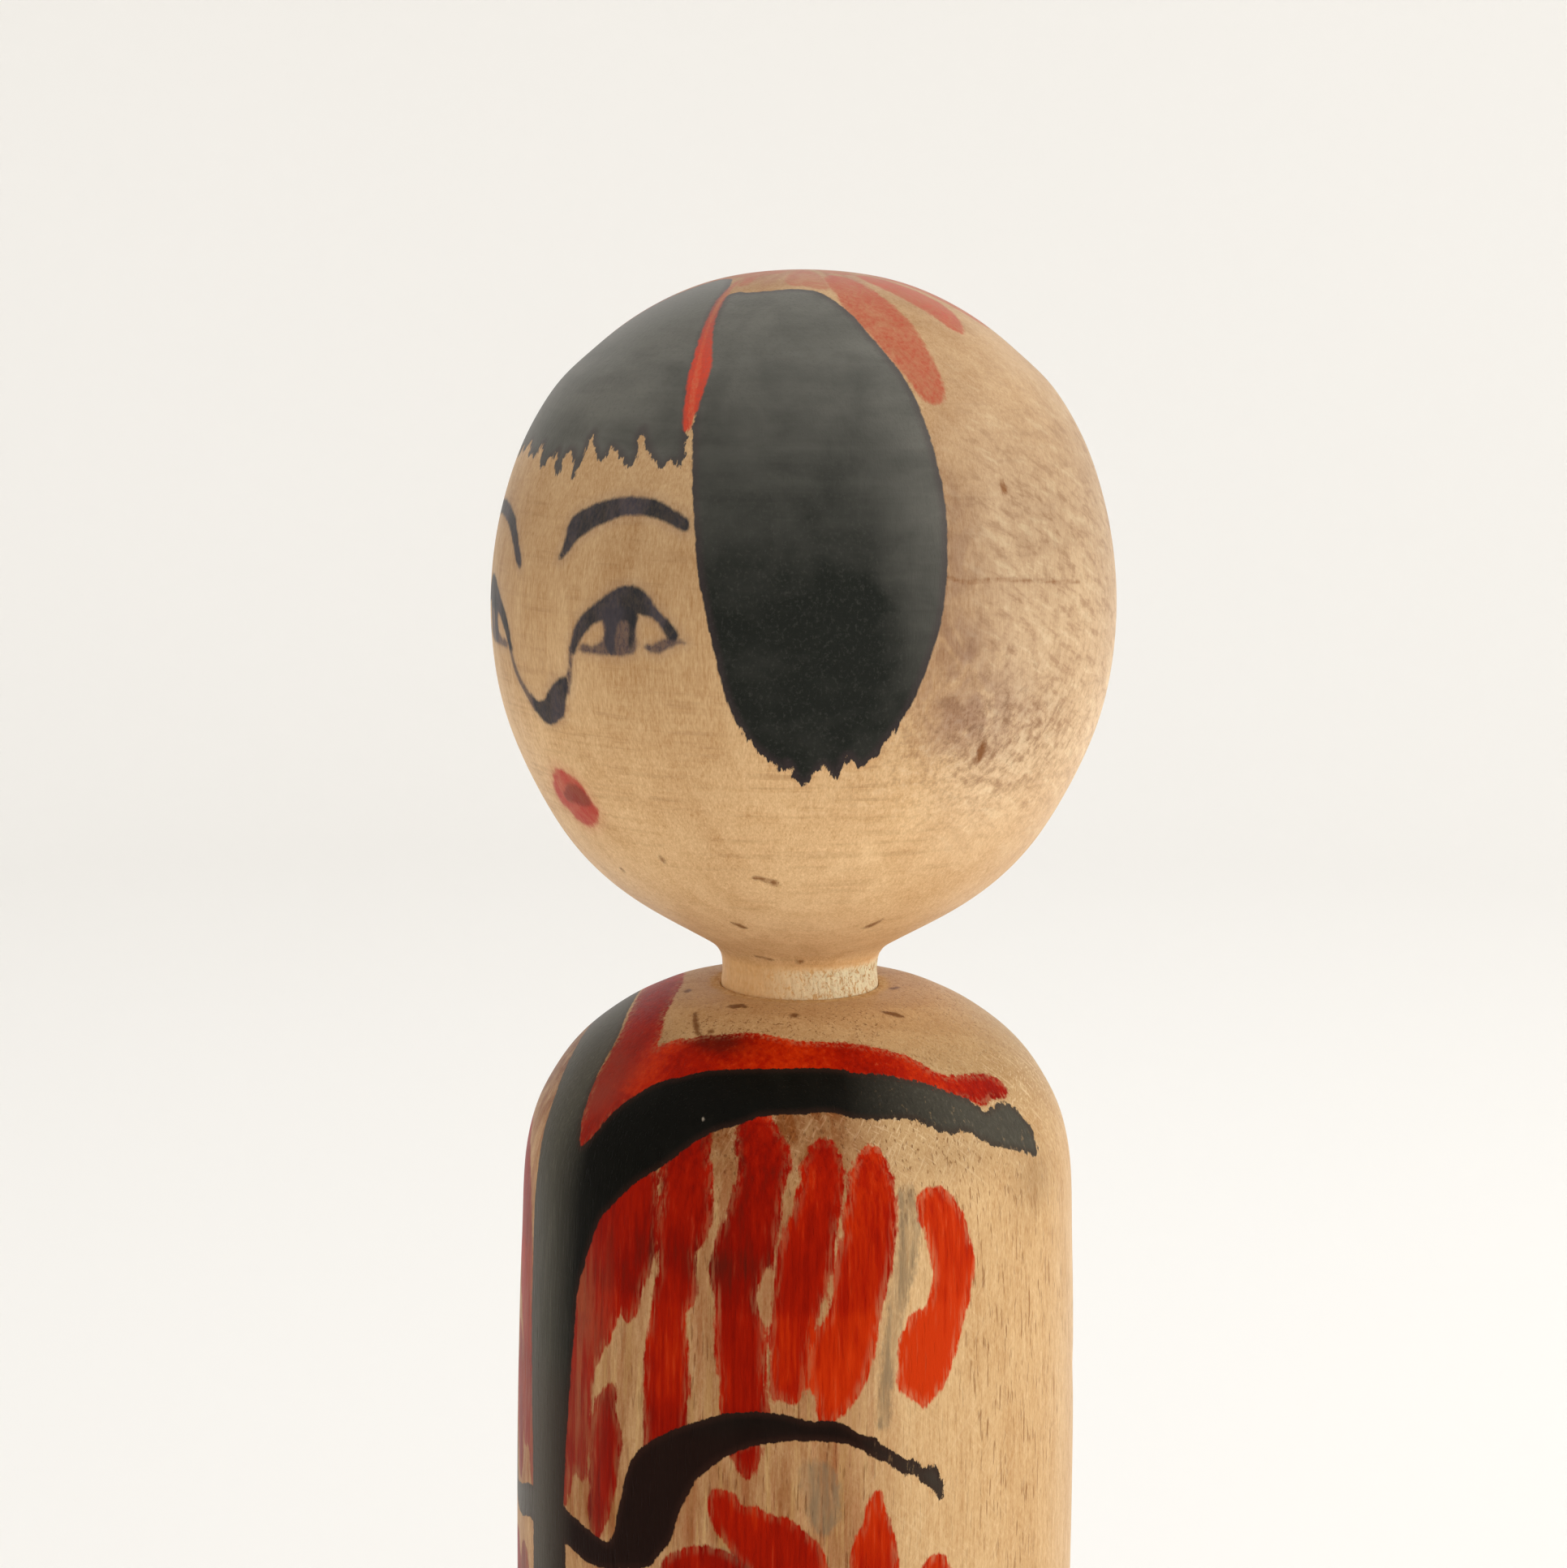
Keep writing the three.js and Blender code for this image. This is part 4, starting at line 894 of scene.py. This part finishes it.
    # the grey the hair fades to is dust with painted sheen on the black
    hair = n.mix(dust_and_sheen, srgb(32, 34, 30), srgb(105, 103, 96))
    hair = n.mix(n.mul(n.range(n.noise(mm, 3.1, 3.1, 2.6, detail=3, rough=0.75, shift=(1, 2, 3)), 0.50, 0.72), 0.34), hair, srgb(76, 76, 70))
    streaks = n.mul(n.sub(n.noise(mm, 2.1, 2.1, 0.22, detail=3, rough=0.6), 0.5), n.mul(n.attr("tips"), 1.9))
    hair_mask = edge(n, n.attr("ink"), n.add(n.mul(wob, 0.7), streaks), 0.10, 0.12)
    rim = n.mul(n.range(n.attr("ink"), 0.0, 0.9, 1.0, 0.0), 0.45)
    hair = n.mix(rim, hair, srgb(70, 56, 58))
    grey = n.mix(n.mul(n.range(mottle, 0.35, 0.65), 0.55), srgb(46, 46, 48), srgb(84, 76, 82))
    thin_mask = n.mul(edge(n, n.attr("thin"), n.mul(wob, 0.9), 0.26, 0.06), n.range(speck, 0.3, 0.62, 0.96, 0.74))
    face_mask = n.mul(edge(n, n.attr("face"), n.mul(wob, 0.8), 0.24, 0.04), n.range(speck, 0.3, 0.7, 1.0, 0.92))
    halo = n.mul(n.range(n.max(n.attr("face"), n.attr("thin")), -1.3, 0.0), 0.16)
    base = n.mix(halo, base, srgb(120, 100, 96))
    base = n.mix(thin_mask, base, srgb(76, 64, 68))
    base = n.mix(face_mask, base, grey)
    colour = n.mix(hair_mask, base, hair)
    # the parting goes paler and pinker towards the crown: painted sheen
    part_mask = n.mul(edge(n, n.attr("part"), n.mul(wob, 0.9), 0.16, 0.05), n.range(s, 10, 22, 0.62, 0.96))
    colour = n.mix(n.mul(part_mask, n.range(speck, 0.35, 0.65, 1.0, 0.8)), colour, n.mix(n.range(s, 15, 25), srgb(166, 92, 78), srgb(198, 68, 46)))
    # surface
    r = n.add(0.50, n.mul(n.sub(fibre, 0.5), 0.25))
    r = n.add(r, n.mul(n.sub(cloud, 0.5), 0.18))
    r = n.math("MAXIMUM", n.add(r, n.mul(n.max(raw, n.mul(rough, 0.5)), 0.25)), 0.32)
    r = n.range(hair_mask, 0, 1, r, 0.48, smooth=False)
    lines = n.noise(mm, 0.05, 0.05, 3.0, detail=2, rough=0.6)
    h = n.add(n.mul(fibre, 0.30), n.mul(fine, 0.16))
    h = n.add(h, n.mul(lines, 0.10))
    h = n.add(h, n.mul(n.mul(torn, rough), 0.85))
    h = n.add(h, n.mul(n.mul(n.noise(mm, 2.2, 2.2, 1.3, detail=4, rough=0.7), raw), 2.6))
    return finish_material(n, colour, r, h, 0.00016, 0.06)


def body_material():
    n = Nodes("body_paint_on_wood")
    mm = n.scaled(n.new("ShaderNodeTexCoord").outputs["Object"], 1000, 1000, 1000)
    s = n.attr("along")
    base, fibre, fine, speck, mottle, cloud = wood(n, mm, (-64.0, 30.0), srgb(243, 208, 158), srgb(185, 136, 84), 11.0, 0.16, 0.35)
    # short brown pores along the fibre
    pore = n.noise(mm, 3.6, 3.6, 0.34, detail=2, rough=0.5, shift=(7, 2, 5))
    where = n.range(n.noise(mm, 0.07, 0.07, 0.03, detail=2, shift=(3, 9, 4)), 0.36, 0.62)
    base = n.mix(n.mul(n.mul(n.range(pore, 0.59, 0.69), where), 0.66), base, srgb(138, 86, 42))
    streak = n.noise(mm, 0.9, 0.9, 0.035, detail=3, rough=0.55, shift=(1, 6, 2))
    base = n.mix(n.mul(n.range(streak, 0.50, 0.72), 0.17), base, srgb(172, 116, 62))
    # shoulder under the head: darker as painted shade from the head above it, and greyer with handling
    top = n.range(s, 16, 2)
    base = n.mix(n.mul(top, 0.4), base, n.mix(1.0, base, srgb(214, 190, 160), "MULTIPLY"))
    base = n.mix(n.attr("handled_and_shaded"), base, n.mix(1.0, base, srgb(206, 205, 200), "MULTIPLY"))
    wob = n.add(n.mul(n.sub(n.noise(mm, 1.4, 1.4, 0.8, detail=3, rough=0.6), 0.5), 0.65), n.mul(n.sub(n.noise(mm, 5.5, 5.5, 1.4, detail=3, rough=0.6), 0.5), 0.35))
    # fine scratches across the grain, most on the shoulder
    scratch = n.turned_noise(mm, (0.62, 0.0, 0.35), 2.2, 4.6, 0.16, detail=2, rough=0.5)
    scratch2 = n.turned_noise(mm, (-0.85, 0.2, -0.2), 2.2, 4.2, 0.20, detail=2, rough=0.5, shift=(4, 4, 4))
    scratch = n.mul(n.mul(n.max(n.range(scratch, 0.56, 0.68), n.range(scratch2, 0.58, 0.70)), n.range(s, 12, 18, 0.12, 1.0)), n.attr("handled_and_shaded"))
    base = n.mix(n.mul(scratch, 0.42), base, srgb(244, 218, 178))
    # thin red-brown wash between the stripes
    wash = n.mul(n.attr("wash"), n.range(n.noise(mm, 0.7, 0.7, 0.10, detail=4, rough=0.6), 0.32, 0.64, 0.56, 1.0))
    base = n.mix(wash, base, n.mix(1.0, base, srgb(171, 124, 90), "MULTIPLY"))
    tinge = n.noise(mm, 1.1, 1.1, 0.07, detail=4, rough=0.62, shift=(5, 1, 7))
    base = n.mix(n.mul(n.mul(n.range(tinge, 0.50, 0.66), n.range(s, 20, 30)), n.mul(n.attr("wash"), 0.36)), base, srgb(146, 66, 34))
    base = n.mix(n.mul(n.mul(n.range(tinge, 0.50, 0.36), n.range(s, 20, 30)), n.mul(n.attr("wash"), 0.30)), base, srgb(206, 172, 108))
    base = n.mix(n.mul(n.attr("stain"), 0.6), base, n.mix(1.0, base, srgb(150, 138, 128), "MULTIPLY"))
    raw = n.attr("raw")
    torn = n.noise(mm, 1.6, 1.6, 1.2, detail=4, rough=0.7, warp=0.8)
    base = n.mix(n.mul(raw, 0.55), base, n.mix(n.range(torn, 0.35, 0.6), srgb(238, 210, 158), srgb(196, 150, 92)))
    # grey smears
    smear = n.mul(edge(n, n.attr("grey"), n.mul(wob, 2.2), 0.45), n.range(n.noise(mm, 1.2, 1.2, 0.12, detail=3, rough=0.6), 0.35, 0.62, 0.30, 0.85))
    base = n.mix(n.mul(smear, 0.88), base, srgb(122, 104, 80))
    fl = edge(n, n.attr("fleck"), n.mul(wob, 0.9), 0.24, 0.10)
    base = n.mix(n.mul(fl, 0.85), base, srgb(104, 58, 22))
    # red
    tone = n.attr("tone")
    patch = n.noise(mm, 0.22, 0.22, 0.10, detail=3, rough=0.6, warp=0.5)
    brush = n.noise(mm, 1.5, 1.5, 0.06, detail=3, rough=0.6)
    t = n.add(tone, n.mul(n.sub(patch, 0.5), 0.8))
    t = n.add(t, n.mul(n.sub(brush, 0.5), 0.7))
    t = n.add(t, n.mul(n.sub(fibre, 0.5), 0.5))
    red = n.ramp(t, [(0.0, srgb(96, 20, 8)), (0.3, srgb(130, 12, 0)), (0.6, srgb(158, 22, 0)), (0.85, srgb(184, 42, 2)), (1.0, srgb(196, 52, 8))])
    red = n.mix(n.mul(n.attr("dark"), 0.75), red, srgb(72, 18, 8))
    red = n.mix(n.mul(n.attr("dull"), n.range(patch, 0.35, 0.65, 0.55, 0.9)), red, srgb(132, 52, 38))
    sdf = n.attr("red")
    # dry at the rim of each stroke and along the brush
    dry = n.mul(n.range(sdf, 0.9, 0.0), n.range(n.noise(mm, 2.6, 2.6, 0.28, detail=3, rough=0.6), 0.42, 0.62))
    fray = n.mul(n.sub(n.noise(mm, 2.3, 2.3, 0.17, detail=3, rough=0.66, shift=(6, 3, 1)), 0.5), 0.85)
    red_mask = edge(n, sdf, n.add(wob, fray), 0.15, 0.24)
    cover = n.range(n.add(n.mul(n.sub(fibre, 0.5), 0.9), n.mul(n.sub(brush, 0.5), 0.9)), 0.12, 0.42, 1.0, 0.86)
    cover = n.mul(cover, n.range(dry, 0, 1, 1.0, 0.72, smooth=False))
    cover = n.mul(cover, n.range(n.mul(n.mul(n.attr("dull"), n.range(s, 24, 32)), n.range(tinge, 0.56, 0.44)), 0, 1, 1.0, 0.76, smooth=False))
    colour = n.mix(n.mul(red_mask, cover), base, red)
    # black, greyed where dust and painted sheen lie on it
    ink = n.attr("ink")
    black = n.mix(n.add(n.attr("dust_and_sheen"), n.mul(n.sub(n.noise(mm, 0.12, 0.12, 0.05, detail=3), 0.5), 0.3)), srgb(14, 13, 9), srgb(80, 76, 66))
    brushed = n.noise(mm, 3.0, 3.0, 0.13, detail=4, rough=0.66, shift=(9, 4, 2))
    black = n.mix(n.mul(n.range(brushed, 0.48, 0.68), n.mul(n.attr("dust_and_sheen"), 0.42)), black, srgb(100, 95, 83))
    black = n.mix(n.mul(n.range(s, 44, 52), 0.75), black, n.mix(n.attr("dust_and_sheen"), srgb(34, 17, 12), srgb(84, 76, 66)))
    black = n.mix(n.mul(n.range(ink, 0.0, 0.8, 1.0, 0.0), 0.35), black, srgb(58, 34, 26))
    ends = n.attr("ends")
    ink_mask = edge(n, ink, n.mul(wob, n.add(n.mul(ends, 1.3), 0.8)), 0.08, 0.10)
    gaps = n.mul(n.range(n.noise(mm, 1.6, 1.6, 0.5, detail=4, rough=0.7, shift=(2, 2, 9)), 0.60, 0.70), n.mul(n.attr("ends"), 0.26))
    ink_mask = n.mul(ink_mask, n.sub(1.0, gaps))
    colour = n.mix(ink_mask, colour, black)
    colour = n.mix(edge(n, n.attr("chip"), n.mul(wob, 0.5), 0.14), colour, srgb(158, 146, 130))
    # surface
    r = n.add(0.47, n.mul(n.sub(fibre, 0.5), 0.30))
    r = n.add(r, n.mul(n.sub(cloud, 0.5), 0.20))
    r = n.add(r, n.mul(raw, 0.25))
    r = n.math("MAXIMUM", r, 0.30)
    r = n.range(ink_mask, 0, 1, r, 0.44, smooth=False)
    lines = n.noise(mm, 0.05, 0.05, 2.6, detail=2, rough=0.6)
    h = n.add(n.mul(fibre, 0.34), n.mul(fine, 0.16))
    h = n.add(h, n.mul(n.range(pore, 0.60, 0.70), -0.25))
    h = n.add(h, n.mul(lines, 0.08))
    h = n.add(h, n.mul(n.mul(torn, raw), 1.2))
    return finish_material(n, colour, r, h, 0.00016, 0.03, 0.34)


head.data.materials.append(head_material())
body.data.materials.append(body_material())
for piece, node in ((head, "head"), (body, "body")):
    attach(piece, node)
    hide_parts(node)


# ------------------------------------------------------------------ floor and light
def sweep():
    """A pale floor that curves up into a low wall all round, in metres."""
    rows = [(0.0, 0.0)] + [(r, 0.0) for r in np.linspace(0.03, 1.0, 24)]
    rows += [(1.0 + 0.5 * math.sin(a), 0.5 * (1 - math.cos(a))) for a in np.linspace(0.06, math.pi / 2, 20)]
    rows += [(1.5, z) for z in np.linspace(0.56, 1.0, 6)]
    m = 96
    verts, faces = [(0, 0, 0)], []
    for r, z in rows[1:]:
        verts += [(r * math.cos(2 * math.pi * j / m), r * math.sin(2 * math.pi * j / m), z) for j in range(m)]
    for j in range(m):
        faces.append((0, 1 + j, 1 + (j + 1) % m))
    for i in range(len(rows) - 2):
        for j in range(m):
            a, b = 1 + i * m + j, 1 + i * m + (j + 1) % m
            faces.append((a, a + m, b + m, b))
    me = bpy.data.meshes.new("backdrop")
    me.from_pydata(verts, [], faces)
    me.polygons.foreach_set("use_smooth", np.ones(len(me.polygons), bool))
    me.update()
    ob = bpy.data.objects.new("backdrop", me)
    ob.location.z = -0.0001
    bpy.context.scene.collection.objects.link(ob)
    n = Nodes("pale_paper")
    co = n.new("ShaderNodeTexCoord").outputs["Object"]
    soft = n.noise(co, 1.3, detail=2)
    colour = n.mix(soft, srgb(238, 236, 232), srgb(241, 239, 236))
    b = n.new("ShaderNodeBsdfPrincipled")
    n.put(b.inputs["Base Color"], colour)
    b.inputs["Roughness"].default_value = 0.9
    b.inputs["Specular IOR Level"].default_value = 0.1
    out = n.new("ShaderNodeOutputMaterial")
    n.put(out.inputs[0], b.outputs[0])
    me.materials.append(n.mat)
    return ob


sweep()

# ------------------------------------------------------------------ camera
AZ, PITCH, ROLL = math.radians(55.0), math.radians(9.0), math.radians(0.53)
back = np.array([math.sin(AZ) * math.cos(PITCH), -math.cos(AZ) * math.cos(PITCH), math.sin(PITCH)])
right0 = np.array([math.cos(AZ), math.sin(AZ), 0.0])
up0 = np.cross(back, right0)
place = np.array([0, 0, 188.0]) - 1.85 * right0 + 321.0 * back
right = math.cos(ROLL) * right0 + math.sin(ROLL) * up0
up = -math.sin(ROLL) * right0 + math.cos(ROLL) * up0
cam = bpy.data.cameras.new("camera")
cam.lens, cam.sensor_width = 72.0, 36.0
cam.clip_start, cam.clip_end = 0.01, 20.0
camera = bpy.data.objects.new("camera", cam)
m = Matrix.Identity(4)
for i in range(3):
    m[i][0], m[i][1], m[i][2], m[i][3] = right[i], up[i], back[i], place[i] * MM
camera.matrix_world = m
bpy.context.scene.collection.objects.link(camera)
bpy.context.scene.camera = camera

# ------------------------------------------------------------------ light
world = bpy.data.worlds.new("studio")
bpy.context.scene.world = world
world.use_nodes = True
wt = world.node_tree
wt.nodes.clear()
bg = wt.nodes.new("ShaderNodeBackground")
bg.inputs["Color"].default_value = (1.0, 0.995, 0.985, 1)
bg.inputs["Strength"].default_value = 0.93
wo = wt.nodes.new("ShaderNodeOutputWorld")
wt.links.new(bg.outputs[0], wo.inputs[0])


def lamp(name, azimuth, elevation, distance, size, power, colour=(1, 1, 1), aim=(0, 0, 0.16)):
    """A square soft light, azimuth degrees round from the doll's front towards its left."""
    a, e = math.radians(azimuth), math.radians(elevation)
    at = np.array([math.sin(a) * math.cos(e), -math.cos(a) * math.cos(e), math.sin(e)]) * distance + [0, 0, 0.15]
    z = (at - aim) / np.linalg.norm(at - aim)
    x = np.cross([0, 0, 1.0], z) if abs(z[2]) < 0.99 else np.array([1.0, 0, 0])
    x /= np.linalg.norm(x)
    y = np.cross(z, x)
    li = bpy.data.lights.new(name, "AREA")
    li.shape, li.size, li.energy, li.color = "SQUARE", size, power, colour
    ob = bpy.data.objects.new(name, li)
    m = Matrix.Identity(4)
    for i in range(3):
        m[i][0], m[i][1], m[i][2], m[i][3] = x[i], y[i], z[i], at[i]
    ob.matrix_world = m
    bpy.context.scene.collection.objects.link(ob)
    return ob


lamp("window", 122, 10, 1.05, 0.5, 2.6, (1.0, 0.985, 0.96), (0, 0, 0.15))
lamp("ceiling", 0, 88, 1.3, 1.2, 1.2, (0.99, 1.0, 1.0))
lamp("backdrop", 150, 48, 0.95, 0.7, 3.0, (1.0, 1.0, 1.0), (-0.7, 0.75, 0.25))
bpy.context.scene.view_settings.view_transform = "Standard"
bpy.context.scene.view_settings.look = "None"

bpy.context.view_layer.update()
